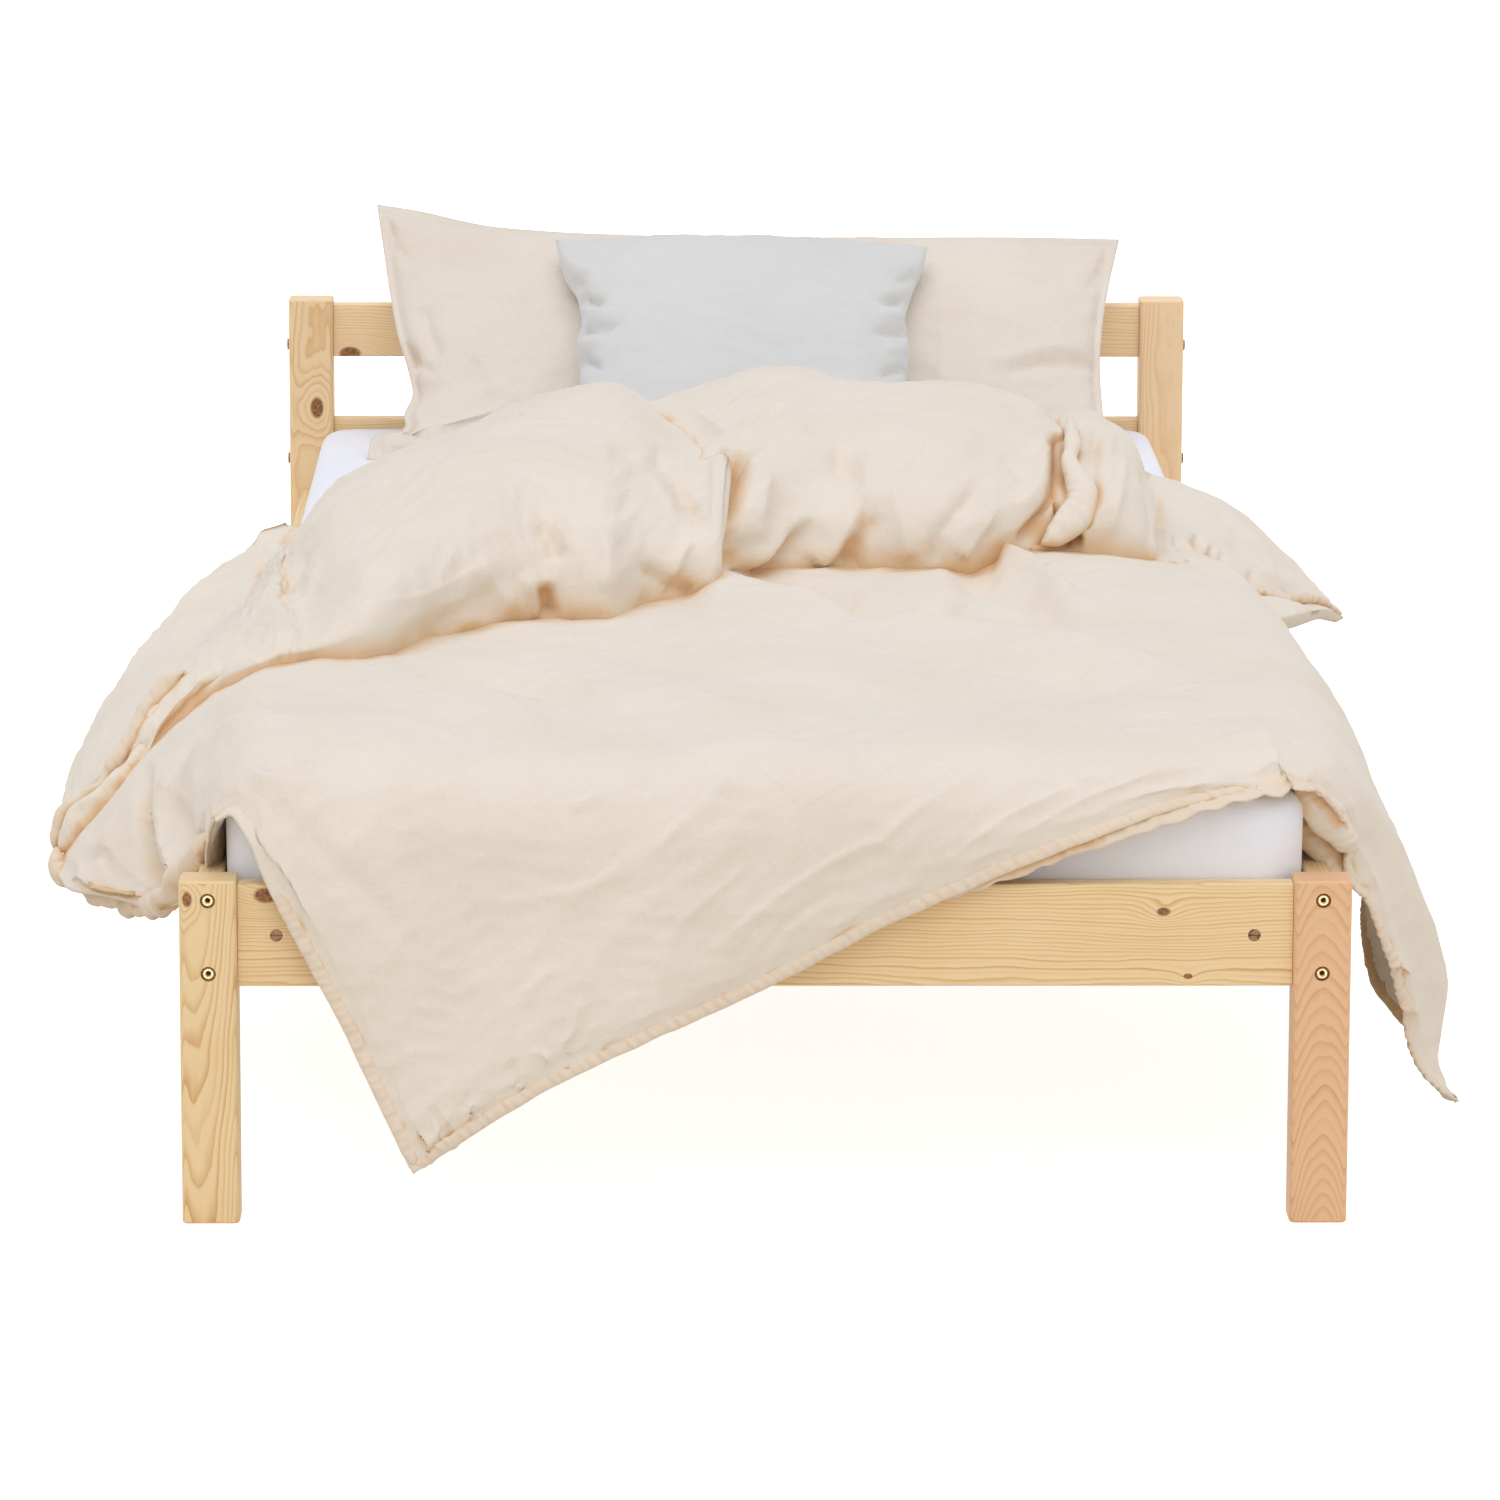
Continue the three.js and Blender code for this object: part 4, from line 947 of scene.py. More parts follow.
def onPlane(px, py, s):
    # where the line of sight through a pixel meets that plane
    start = eye * 1000
    ray = rayThrough(px, py)
    base = np.array([0, footEnd + s["foot"][0], bedTop + s["foot"][1]])
    normal = planeNormal(s)
    return start + ray * (normal @ (base - start)) / (normal @ ray)


def stuffedForm(name, s, folds, body):
    edge = {side: [onPlane(px, py, s) for px, py in s["seam" + side]]
            for side in ("Left", "Top", "Right", "Bottom")}
    width = np.linalg.norm(edge["Top"][-1] - edge["Top"][0])
    height = np.linalg.norm(edge["Right"][-1] - edge["Right"][0])
    columns, rows = int(width / s["grid"]), int(height / s["grid"])
    low, high = curveThrough(edge["Bottom"], columns), curveThrough(edge["Top"], columns)
    left, right = curveThrough(edge["Left"][::-1], rows), curveThrough(edge["Right"][::-1], rows)
    middle = coons(low, high, left, right)
    a = np.linspace(0, 1, columns)[:, None] * np.ones(rows)
    b = np.linspace(0, 1, rows)[None] * np.ones((columns, 1))
    fromSide = np.minimum(a, 1 - a) * width
    fromEnd = np.minimum(b, 1 - b) * height
    rim = np.minimum(fromSide, fromEnd)
    inside = np.clip(rim - s["flange"], 0, None)

    # how thick it is at each point
    f = stuffingSettings
    steep, full = f["crown"]
    u = np.clip(fromSide - s["flange"], 0, None) / (width / 2)
    v = np.clip(fromEnd - s["flange"], 0, None) / (height / 2)
    crown = ((1 - (1 - np.clip(u, 0, 1)) ** steep) * (1 - (1 - np.clip(v, 0, 1)) ** steep)) ** full
    half = f["cloth"] + s["thickness"] / 2 * crown
    share, length, fade = f["swell"]
    half = half * (1 + share * waves(a * width, b * height, length, 3) * smoothstep(0, fade, inside))
    normal = planeNormal(s)
    normal /= np.linalg.norm(normal)
    front, back = middle + normal * half[..., None], middle - normal * half[..., None]

    # the seam puckers, the case wrinkles softly
    tall, near, far = f["wrinkle"]
    lift = tall * crumple(a * width, b * height, s["wrinkle"], 7) * smoothstep(near, far, inside)
    tall, length, reach, fade = f["pucker"]
    pucker = tall * waves(a * width, b * height, length, 8) * np.exp(-inside / reach)
    lift = lift + pucker * smoothstep(0, fade, inside)
    lift = lift - s["groove"] * np.exp(-((rim - s["flange"]) / f["grooveWidth"]) ** 2)
    pressed = s["foldScale"] * pressFolds(front, gridNormals(front), folds)
    lift = lift + pressed * smoothstep(0, f["foldFade"], rim)
    front = front + gridNormals(front) * lift[..., None]
    return closedSheet(name, front, back, body)


pillowPiece = stuffedForm("pillowCase", pillowSettings, pillowFolds, "pillow")
pillowPiece.data.materials.append(clothMaterials["pillowCotton"])
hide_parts("pillow")
cushionPiece = stuffedForm("cushionCover", cushionSettings, cushionFolds, "cushion")
cushionPiece.data.materials.append(clothMaterials["cushionCotton"])
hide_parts("cushion")
print("pillow and cushion done")


# Duvet
# The duvet lies turned by about 24 degrees, so that one foot corner hangs over the foot rail and the other
# over the right side. Its foot half is drawn flat and then bent over the mattress's edges. Outlines are in
# mm, as (across from the middle, along from the foot end), with the hanging parts rolled out flat.
duvetSettings = {
    "flatSize": (1500, 1150),  # mm, roughly, for the number of points
    "grid": 4.4,
    "edgeFine": 0.4,  # how much closer the points lie near the hems
    "hem": 14,  # mm from the hem to its stitching
    "height": 40,  # top of the duvet above the sheet
    "thickness": 37,
    "hangThickness": 23,
    "rearDrop": (22, (780, 950), (330, 430)),  # lower at the right under the flap: by, along, across
    # where the bend of each side takes over from that of its hem
    "wideAt": {"right": (90, 230), "rightHem": (0, 70), "left": (60, 360)},
    "pleats": (9, 21, 0.6, (80, 220),
    (380, 240)),  # depth, spacing, start, from how far down, how far along
    "swell": ((3.2, 330), (1.5, 140), 160),  # two heights with their lengths, and the fade from the edge
    "crumple": (0.9, 75, 60),
    "gathers": ((1.1, 24, 30), (0.8, 60, 70)),  # height, length, reach from the edge
    "stitching": (0.8, 2.6),  # depth and width
    "hemFade": (8, 16),
    "hangFrom": (40, 150),  # where the cloth goes from its lying to its hanging thickness
    "edgeRound": 75,
    "edgeThick": 0.08,  # share of the thickness that is left at the edge
    "leftSlow": 0.45,  # the left edge is pressed flatter
    "flange": 12,
    "bend": 60,  # mm inside the edge of the mattress, where the bend starts
    "footHem": [(-292, -352), (-255, -325), (-190, -285), (-97, -240), (-15, -203), (112, -138), (248, -80),
                (340, -42), (398, -22), (444, 0), (505, 30), (548, 50), (592, 66), (650, 86), (720, 110),
                (790, 136), (828, 146)],
    "leftEdge": [(-292, -352), (-326, -280), (-356, -217), (-394, -148), (-416, -106), (-436, -58),
                 (-452, -30), (-470, -10), (-500, 8), (-545, 42), (-586, 96), (-634, 170), (-680, 280),
                 (-698, 380), (-690, 500), (-640, 640)],
    "rightEdge": [(828, 146), (812, 196), (806, 330), (800, 480), (780, 640), (720, 830), (620, 1010),
                  (520, 1130)],
    "backLine": [(-640, 640), (-400, 650), (-200, 760), (0, 960), (200, 1050), (400, 1110), (520, 1130)],
    # bends over the edges, as (outwards from the edge, downwards)
    "frontBend": [(-60, 0), (-20, 3), (14, 20), (36, 56), (47, 108), (58, 170), (68, 240), (84, 336)],
    "rightBend": [(-60, 0), (-15, 3), (30, 20), (74, 74), (113, 152), (136, 206), (138, 244), (116, 282),
                  (70, 304)],
    "rightHemBend": [(-60, 0), (-20, 4), (14, 18), (38, 48), (52, 84), (50, 118), (64, 138), (78, 171),
                     (94, 217), (108, 262), (126, 302), (156, 328)],
    "rightMidBend": [(-60, 0), (-15, 3), (30, 20), (74, 74), (113, 152), (134, 206), (142, 262), (138, 306),
                     (124, 340)],
    "leftBend": [(-60, 0), (-15, 6), (34, 33), (82, 73), (130, 124), (164, 160), (178, 180), (172, 200),
                 (152, 212)],
    "leftHemBend": [(-60, 0), (-20, 6), (8, 28), (22, 66), (27, 112), (38, 146), (44, 180), (48, 214)],
}


# Folds that the photograph shows: path of pixels, height in mm, width to its left and right in pixels, and
# the shares of its length over which it fades in and out
bodyFolds = {
    "hollowUnderRoll": ([(716, 586), (785, 590), (837, 601), (889, 613), (926, 604),
                         (973, 596)], -27, 12, 8, 0.25, 0.2),
    "ridgeUnderRoll": ([(684, 597), (748, 594), (785, 599), (832, 615), (871, 627)], 18, 4, 24, 0.2, 0.3),
    "longRidge": ([(850, 624), (931, 627), (1005, 634), (1078, 646), (1151, 662),
                   (1230, 690)], 14, 6, 20, 0.15, 0.4),
    "longHollow": ([(840, 648), (960, 664), (1080, 678), (1160, 696)], -7, 10, 18),
    "ridgeRight": ([(996, 556), (1036, 570), (1067, 589), (1084, 596)], 18, 5, 10, 0.1, 0.4),
    "hollowRight": ([(940, 572), (990, 580), (1040, 596), (1080, 612)], -24, 12, 9),
    "hollowFar": ([(960, 604), (1020, 612), (1090, 618)], -6, 9, 14),
    "leftRidge": ([(330, 690), (420, 690), (500, 706), (560, 730)], 12, 8, 20),
    "leftHollow": ([(380, 664), (470, 668), (560, 690), (640, 716)], -13, 9, 12),
    "leftRipple": ([(300, 720), (390, 722), (480, 742)], 5, 6, 14),
    "middleRipple": ([(540, 664), (600, 690), (700, 700), (800, 726)], 6, 9, 20),
    "middleHollow": ([(620, 660), (720, 668), (800, 686)], -6, 10, 14),
    "cornerDart": ([(236, 780), (258, 773), (290, 770), (330, 757)], 8, 8, 22, 0.3, 0.4),
    "dartHollow": ([(244, 757), (264, 753), (292, 751), (330, 742)], -10, 12, 11, 0.35, 0.4),
    "dartSwell": ([(214, 736), (250, 726), (300, 724), (350, 730)], 6, 12, 12, 0.2, 0.4),
    "shoulderFold1": ([(160, 752), (196, 722), (240, 700), (300, 690)], 7, 5, 9),
    "shoulderFold2": ([(176, 790), (200, 752), (240, 728), (300, 716)], 6, 4, 8),
    "shoulderHollow": ([(166, 776), (190, 744), (230, 716), (280, 704)], -6, 5, 6),
    "pleat1": ([(150, 758), (144, 800), (148, 850), (157, 895)], -17, 4, 8, 0.2, 0.02),
    "pleat2": ([(189, 796), (184, 812), (185, 836), (196, 866)], -12, 4, 8, 0.4, 0.02),
    "pleat3": ([(176, 766), (162, 800), (164, 850), (176, 886)], 9, 5, 7, 0.2, 0.05),
    "pleat4": ([(208, 800), (203, 814), (200, 838)], 5, 5, 6, 0.3, 0.2),
    "pouchFold1": ([(70, 860), (96, 850), (104, 864), (98, 876)], -5, 4, 5, 0.2, 0.3),
    "pouchFold2": ([(62, 868), (90, 884), (120, 890), (146, 892)], 4, 3, 5, 0.1, 0.2),
    "frontPull1": ([(240, 806), (264, 846), (300, 900), (330, 960)], 5, 9, 14, 0.3, 0.4),
    "frontPull2": ([(250, 782), (310, 840), (380, 910), (430, 980)], -3, 12, 16, 0.1, 0.4),
    "frontCrease1": ([(640, 862), (700, 806), (742, 768), (770, 735)], 2.8, 3, 8),
    "frontCrease7": ([(668, 934), (712, 895), (755, 860)], 2.6, 3, 6),
    "frontCrease8": ([(516, 999), (542, 978), (559, 964)], 2.4, 3, 5),
    "hemPull1": ([(450, 1139), (437, 1121), (429, 1104)], -3, 3, 4, 0.05, 0.4),
    "hemPull2": ([(472, 1121), (468, 1108), (481, 1097)], 2.6, 3, 4, 0.05, 0.4),
    "hemPull3": ([(520, 1086), (511, 1069), (518, 1058)], -3, 3, 4, 0.05, 0.4),
    "hemPull4": ([(550, 1069), (542, 1056), (524, 1052)], 2.6, 3, 4, 0.05, 0.4),
    "hemPull5": ([(568, 1052), (581, 1034), (581, 1008)], -3, 3, 5, 0.05, 0.4),
    "hemPull6": ([(429, 1156), (422, 1139), (411, 1130)], 2.6, 3, 4, 0.05, 0.4),
    "frontCrease2": ([(560, 812), (610, 790), (660, 766)], 2.6, 3, 7),
    "frontCrease3": ([(700, 960), (760, 910), (830, 862), (900, 830)], 3, 3, 9),
    "frontCrease4": ([(600, 700), (680, 760), (760, 800)], 2, 5, 7),
    "frontCrease5": ([(860, 860), (930, 800), (1000, 760)], 2.8, 4, 9),
    "frontCrease6": ([(520, 900), (600, 880), (640, 840)], 2.4, 3, 8),
    "hemCrease1": ([(940, 870), (1000, 820), (1060, 790), (1130, 750)], 2.4, 3, 7),
    "hemCrease2": ([(1010, 840), (1080, 800), (1150, 770), (1200, 740)], 2.0, 3, 7),
    "hemCrease3": ([(1090, 800), (1150, 780), (1230, 760)], -2.6, 4, 6),
    "hemCrease4": ([(560, 1060), (580, 1010), (596, 960)], 1.6, 3, 6),
    "hemCrease5": ([(760, 960), (790, 920), (840, 890)], -2.0, 4, 6),
    "hangSeam": ([(1372, 905), (1384, 940), (1398, 985), (1412, 1030), (1430, 1070)], -5, 3, 4, 0.05, 0.1),
    "hangPucker1": ([(1388, 960), (1404, 966), (1416, 984)], 4, 4, 5, 0.05, 0.4),
    "hangPucker2": ([(1400, 1000), (1414, 1010), (1424, 1030)], 4, 4, 5, 0.05, 0.4),
    "rightPull1": ([(1230, 690), (1290, 770), (1330, 850), (1370, 950)], 6, 8, 16, 0.2, 0.2),
    "rightPull2": ([(1180, 740), (1250, 756), (1306, 790)], -5, 8, 10, 0.2, 0.1),
    "rightPull3": ([(1340, 800), (1376, 880), (1410, 980), (1430, 1050)], 5, 6, 12, 0.2, 0.2),
}


def bendOver(points, flat, bend):
    # points along a bend at a flat distance from where it starts: outwards and downwards, in mm
    path = curveThrough(points, 400)
    steps = lengthsAlong(path)
    out = np.interp(flat, steps, path[:, 0] + bend)
    down = np.interp(flat, steps, path[:, 1])
    beyond = np.clip(flat - steps[-1], 0, None)
    return np.array([out, down + beyond])


def smoothLine(values, width):
    # a running mean along a line of points
    padded = np.concatenate([np.repeat(values[:1], width, 0), values, np.repeat(values[-1:], width, 0)])
    sums = np.cumsum(np.concatenate([0 * padded[:1], padded]), axis=0)
    return ((sums[2 * width + 1:] - sums[:-2 * width - 1]) / (2 * width + 1))[:len(values)]


hemBandSettings = {
    "step": 1.8,  # mm between points
    "around": 28,
    "smooth": (1, 4, 4),  # points to each side over which its line, its width's way and its face are evened
    "sway": 46,
    "swell": (0.06, 34),
    "puckers": (0.8, 8),  # height and length of the fine ones
    "gathers": (0.2, 19),  # and of the coarse ones
    "endRound": 14,
}


def bandAlong(name, middle, across, up, band, seed):
    # a flat puckered tube along a line of points
    s = hemBandSettings
    old = lengthsAlong(middle)
    at = np.linspace(0, old[-1], int(old[-1] / s["step"]))
    smooth = [smoothLine(part, reach) for part, reach in zip((middle, across, up), s["smooth"])]
    middle, across, up = (np.stack([np.interp(at, old, column) for column in part.T], axis=1)
                          for part in smooth)
    across, up = (part / np.linalg.norm(part, axis=1, keepdims=True) for part in (across, up))
    width = np.interp(at, old, (band["width"] + 0 * old[:, None])[:, 0])
    ripple = band["ripple"]
    middle = middle + across * ripple * waves(at, 0 * at, s["sway"], seed)[:, None]
    share, length = s["swell"]
    width = (width * (1 + share * ripple * waves(at, 0 * at, length, seed + 1)))[:, None]
    turn = np.linspace(0, 2 * math.pi, s["around"], endpoint=False)
    endFade = np.sqrt(np.clip(np.minimum(at, at[-1] - at) / s["endRound"], 0.02, 1))[:, None]
    flat = width * np.cos(turn) * endFade
    (fineTall, fineLong), (coarseTall, coarseLong) = s["puckers"], s["gathers"]
    fine = waves(at[:, None] + 0.4 * flat, 0.3 * flat, fineLong, seed + 2)
    coarse = waves(at[:, None], flat, coarseLong, seed + 3)
    high = (band["thick"] * np.sin(turn) + fineTall * fine + coarseTall * ripple * coarse) * endFade
    loops = middle[:, None] + across[:, None] * flat[..., None] + up[:, None] * high[..., None]
    return closedTube(name, loops, "duvet")


def makeDuvetFoot():
    s = duvetSettings
    columns, rows = (int(size / s["grid"]) for size in s["flatSize"])
    foot, back = (curveThrough(s[key], columns, s["edgeFine"]) for key in ("footHem", "backLine"))
    left, right = (curveThrough(s[key], rows, s["edgeFine"]) for key in ("leftEdge", "rightEdge"))
    flat = coons(foot, back, left, right)
    x, y = flat[..., 0], flat[..., 1]
    gapA = np.linalg.norm(np.diff(flat, axis=0), axis=-1)
    gapB = np.linalg.norm(np.diff(flat, axis=1), axis=-1)
    fromFoot = np.concatenate([np.zeros((columns, 1)), np.cumsum(gapB, axis=1)], axis=1)
    fromLeft = np.concatenate([np.zeros((1, rows)), np.cumsum(gapA, axis=0)], axis=0)
    fromRight = fromLeft[-1] - fromLeft
    fromEdge = np.minimum(np.minimum(fromFoot, fromLeft), fromRight)

    # bent over the edges of the mattress: each bend is an outward and a downward way
    bend = s["bend"]
    inner = halfBed - bend
    overFront = np.clip(bend - y, 0, None)
    overLeft = np.clip(-inner - x, 0, None)
    overRight = np.clip(x - inner, 0, None)
    frontOut, frontDown = bendOver(s["frontBend"], overFront, bend)
    rightHem, rightMid, rightWide = (bendOver(s[key], overRight, bend)
                                     for key in ("rightHemBend", "rightMidBend", "rightBend"))
    rightMid = rightMid + (rightWide - rightMid) * smoothstep(*s["wideAt"]["right"], fromFoot)
    rightOut, rightDown = rightHem + (rightMid - rightHem) * smoothstep(*s["wideAt"]["rightHem"], fromFoot)
    leftHem, leftWide = (bendOver(s[key], overLeft, bend) for key in ("leftHemBend", "leftBend"))
    leftOut, leftDown = leftHem + (leftWide - leftHem) * smoothstep(*s["wideAt"]["left"], y)
    # the hanging left side falls in loose pleats
    deep, spacing, start, downAt, alongAt = s["pleats"]
    pleat = smoothstep(*downAt, overLeft) * smoothstep(*alongAt, y) * deep * np.sin(y / spacing + start)
    px = np.clip(x, -inner, inner) - leftOut + rightOut - pleat
    py = np.maximum(y, bend) - frontOut
    pz = bedTop + s["height"] - frontDown - leftDown - rightDown
    lower, alongAt, acrossAt = s["rearDrop"]
    pz -= lower * smoothstep(*alongAt, y) * smoothstep(*acrossAt, x)
    outer = np.stack([px, footEnd + py, pz], axis=-1)
    normal = gridNormals(outer)

    # what the surface does: soft swells, crumples, folds, and a hem gathered along its stitching
    (swellTall, swellLong), (smallTall, smallLong), swellFade = s["swell"]
    swell = swellTall * waves(x, y, swellLong, 11) + smallTall * waves(x, y, smallLong, 12)
    tall, length, fade = s["crumple"]
    lift = swell * smoothstep(0, swellFade, fromEdge)
    lift = lift + tall * crumple(x, y, length, 21) * smoothstep(0, fade, fromEdge)
    lift = lift + pressFolds(outer, normal, bodyFolds)
    hem = 0
    for seed, (tall, length, reach) in enumerate(s["gathers"], 15):
        hem = hem + tall * waves(x, y, length, seed) * np.exp(-fromEdge / reach)
    deep, width = s["stitching"]
    hem = hem - deep * np.exp(-((fromEdge - s["hem"]) / width) ** 2)
    lift = lift + hem * smoothstep(*s["hemFade"], fromEdge)
    outer = outer + normal * lift[..., None]
    normal = gridNormals(outer)

    # its thickness, rounded off towards the edges
    hanging = smoothstep(*s["hangFrom"], np.maximum(overFront, np.maximum(overLeft, overRight)))
    thick = s["thickness"] + (s["hangThickness"] - s["thickness"]) * hanging
    slow = np.minimum(np.minimum(fromFoot, fromLeft * s["leftSlow"]), fromRight)
    t = np.clip((slow - s["flange"] * np.where(slow < fromEdge, s["leftSlow"], 1)) / s["edgeRound"], 0, 1)
    full = s["edgeThick"] + (1 - s["edgeThick"]) * np.sqrt(1 - (1 - t) ** 2)
    top = outer - normal * (thick / 2 * (1 - full))[..., None]
    under = outer - normal * (thick / 2 * (1 + full))[..., None]
    lying = (overFront + overLeft + overRight) < 1
    under[..., 2] = np.where(lying, np.maximum(under[..., 2], bedTop + 1), under[..., 2])
    body = closedSheet("duvetFoot", top, under, "duvet")
    return [body, makeFacing(outer, normal)] + makeHems((top + under) / 2, normal)


facingSettings = {
    "from": (0.40, 0.665),  # shares of the foot hem between which the facing shows
    "drop": [(0, -4), (0.25, 7), (0.6, 12), (0.85, 9), (1, -4)],  # mm below the hem, along those shares
    "length": 900,
    "wave": (1.6, 50),
    "inside": 34,
    "behind": 14,
    "rows": 16,
    "pucker": (0.9, 18, 30),  # height, length, and how wide the facing counts for them
    "groove": (0.9, 0.32, 0.05),  # depth, and place and width as shares of the facing
    "thickness": (0.8, 2.2),  # at its edges, and how much more in its middle
}


def makeFacing(outer, normal):
    # the facing inside the front hem, which shows below it towards the right
    s = facingSettings
    first, last = (int(len(outer) * share) for share in s["from"])
    line, inward = outer[first:last, 0], outer[first:last, 9] - outer[first:last, 0]
    inward /= np.linalg.norm(inward, axis=1, keepdims=True)
    share = np.linspace(0, 1, last - first)[:, None]
    tall, length = s["wave"]
    drop = np.interp(share, *np.array(s["drop"]).T) + tall * waves(share * s["length"], share, length, 17)
    layer = np.linspace(0, 1, s["rows"])
    reach = -drop + (drop + s["inside"]) * layer
    facing = line[:, None] + inward[:, None] * reach[..., None] - normal[first:last, :1] * s["behind"]
    tall, length, wide = s["pucker"]
    pucker = tall * waves(share * s["length"] + 0 * layer, 0 * share + wide * layer, length, 18)
    deep, place, width = s["groove"]
    groove = -deep * np.exp(-((layer - place) / width) ** 2)
    facing = facing + normal[first:last, :1] * (pucker + groove)[..., None]
    ends = np.sqrt(np.clip(np.minimum(share, 1 - share) * 30, 0, 1))
    edge, more = s["thickness"]
    rounded = np.sqrt(np.clip(np.minimum(layer, 1 - layer) * 8, 0, 1))
    thick = (edge - 0.2 + more * rounded) * ends + 0.2
    return closedSheet("duvetHemFacing", facing, facing - normal[first:last, :1] * thick[..., None], "duvet")


hemSettings = {
    "inset": 5,  # mm from the edge to the middle of the hem
    "shape": {"width": 6.0, "thick": 2.7, "ripple": 0.4},
    "leftEnd": 0.3,  # shares of the sides that the hems run along
    "rightEnd": 0.5,
}


def makeHems(middle, normal):
    # the folded hem, round three sides of the foot half. Each piece runs along the outermost line of the
    # grid, with its width towards the line three points in
    s = hemSettings
    rows = middle.shape[1]
    foot = slice(2, -4)
    left, right = slice(2, int(rows * s["leftEnd"])), slice(5, int(rows * s["rightEnd"]))
    lines = {
        "duvetFootHem": ((foot, 0), (foot, 3)),
        "duvetLeftHem": ((0, left), (3, left)),
        "duvetRightHem": ((-1, right), (-4, right)),
    }
    hems = []
    for number, (name, (edge, inner)) in enumerate(lines.items()):
        across = middle[inner] - middle[edge]
        across /= np.maximum(np.linalg.norm(across, axis=1, keepdims=True), 1e-6)
        line = middle[edge] + across * s["inset"]
        hems.append(bandAlong(name, line, across, normal[edge], s["shape"], 110 + 3 * number))
    return hems


footPieces = makeDuvetFoot()
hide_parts("duvet")
print("duvet foot half done")

# The folded-back half: a left lobe that runs out over the left side, and a right lobe behind it. Each row
# is a station across the bed: front crease pixel, its along, ridge pixel, its along, rear along.
leftLobe = {
    "tip": (60, 850, 396, 58, 841, 404, 408),
    "tail1": (84, 827, 390, 78, 802, 404, 440),
    "tail2": (112, 803, 388, 103, 775, 412, 470),
    "tail3": (141, 779, 388, 130, 734, 420, 500),
    "tail4": (157, 748, 392, 150, 706, 426, 540),
    "tail5": (181, 718, 400, 175, 680, 438, 600),
    "shoulder1": (214, 690, 412, 208, 652, 460, 760),
    "shoulder2": (248, 676, 396, 240, 622, 520, 900),
    "shoulder3": (281, 665, 396, 268, 588, 600, 1020),
    "shoulder4": (321, 657, 412, 292, 551, 771, 1120),
    "edge": (371, 651, 432, 318, 520, 730, 1230),
    "rise1": (413, 637, 498, 350, 496, 750, 1270),
    "rise2": (450, 627, 548, 400, 470, 785, 1300),
    "rise3": (500, 617, 600, 451, 448, 830, 1330),
    "crest1": (559, 613, 626, 521, 418, 950, 1380),
    "crest2": (610, 615, 618, 580, 400, 1050, 1400),
    "crest3": (645, 601, 688, 624, 398, 1090, 1400),
    "fall1": (680, 594, 716, 674, 431, 1040, 1380),
    "fall2": (706, 590, 724, 704, 444, 1005, 1340),
    "fold": (724, 584, 734, 731, 449, 960, 1280),
}
rightLobe = {
    "start": (640, 606, 700, 610, 430, 1270, 1410),
    "behind": (660, 600, 716, 640, 409, 1300, 1450),
    "rise1": (690, 594, 740, 676, 394, 1300, 1470),
    "rise2": (722, 588, 770, 738, 375, 1290, 1480),
    "crest1": (763, 571, 850, 788, 373, 1280, 1480),
    "crest2": (821, 562, 900, 836, 378, 1280, 1480),
    "crest3": (900, 562, 902, 900, 383, 1270, 1480),
    "fall1": (960, 562, 902, 965, 389, 1250, 1460),
    "fall2": (1000, 557, 930, 1020, 403, 1230, 1430),
    "fall3": (1036, 545, 966, 1052, 418, 1200, 1380),
    "end": (1060, 524, 985, 1068, 436, 1160, 1290),
}
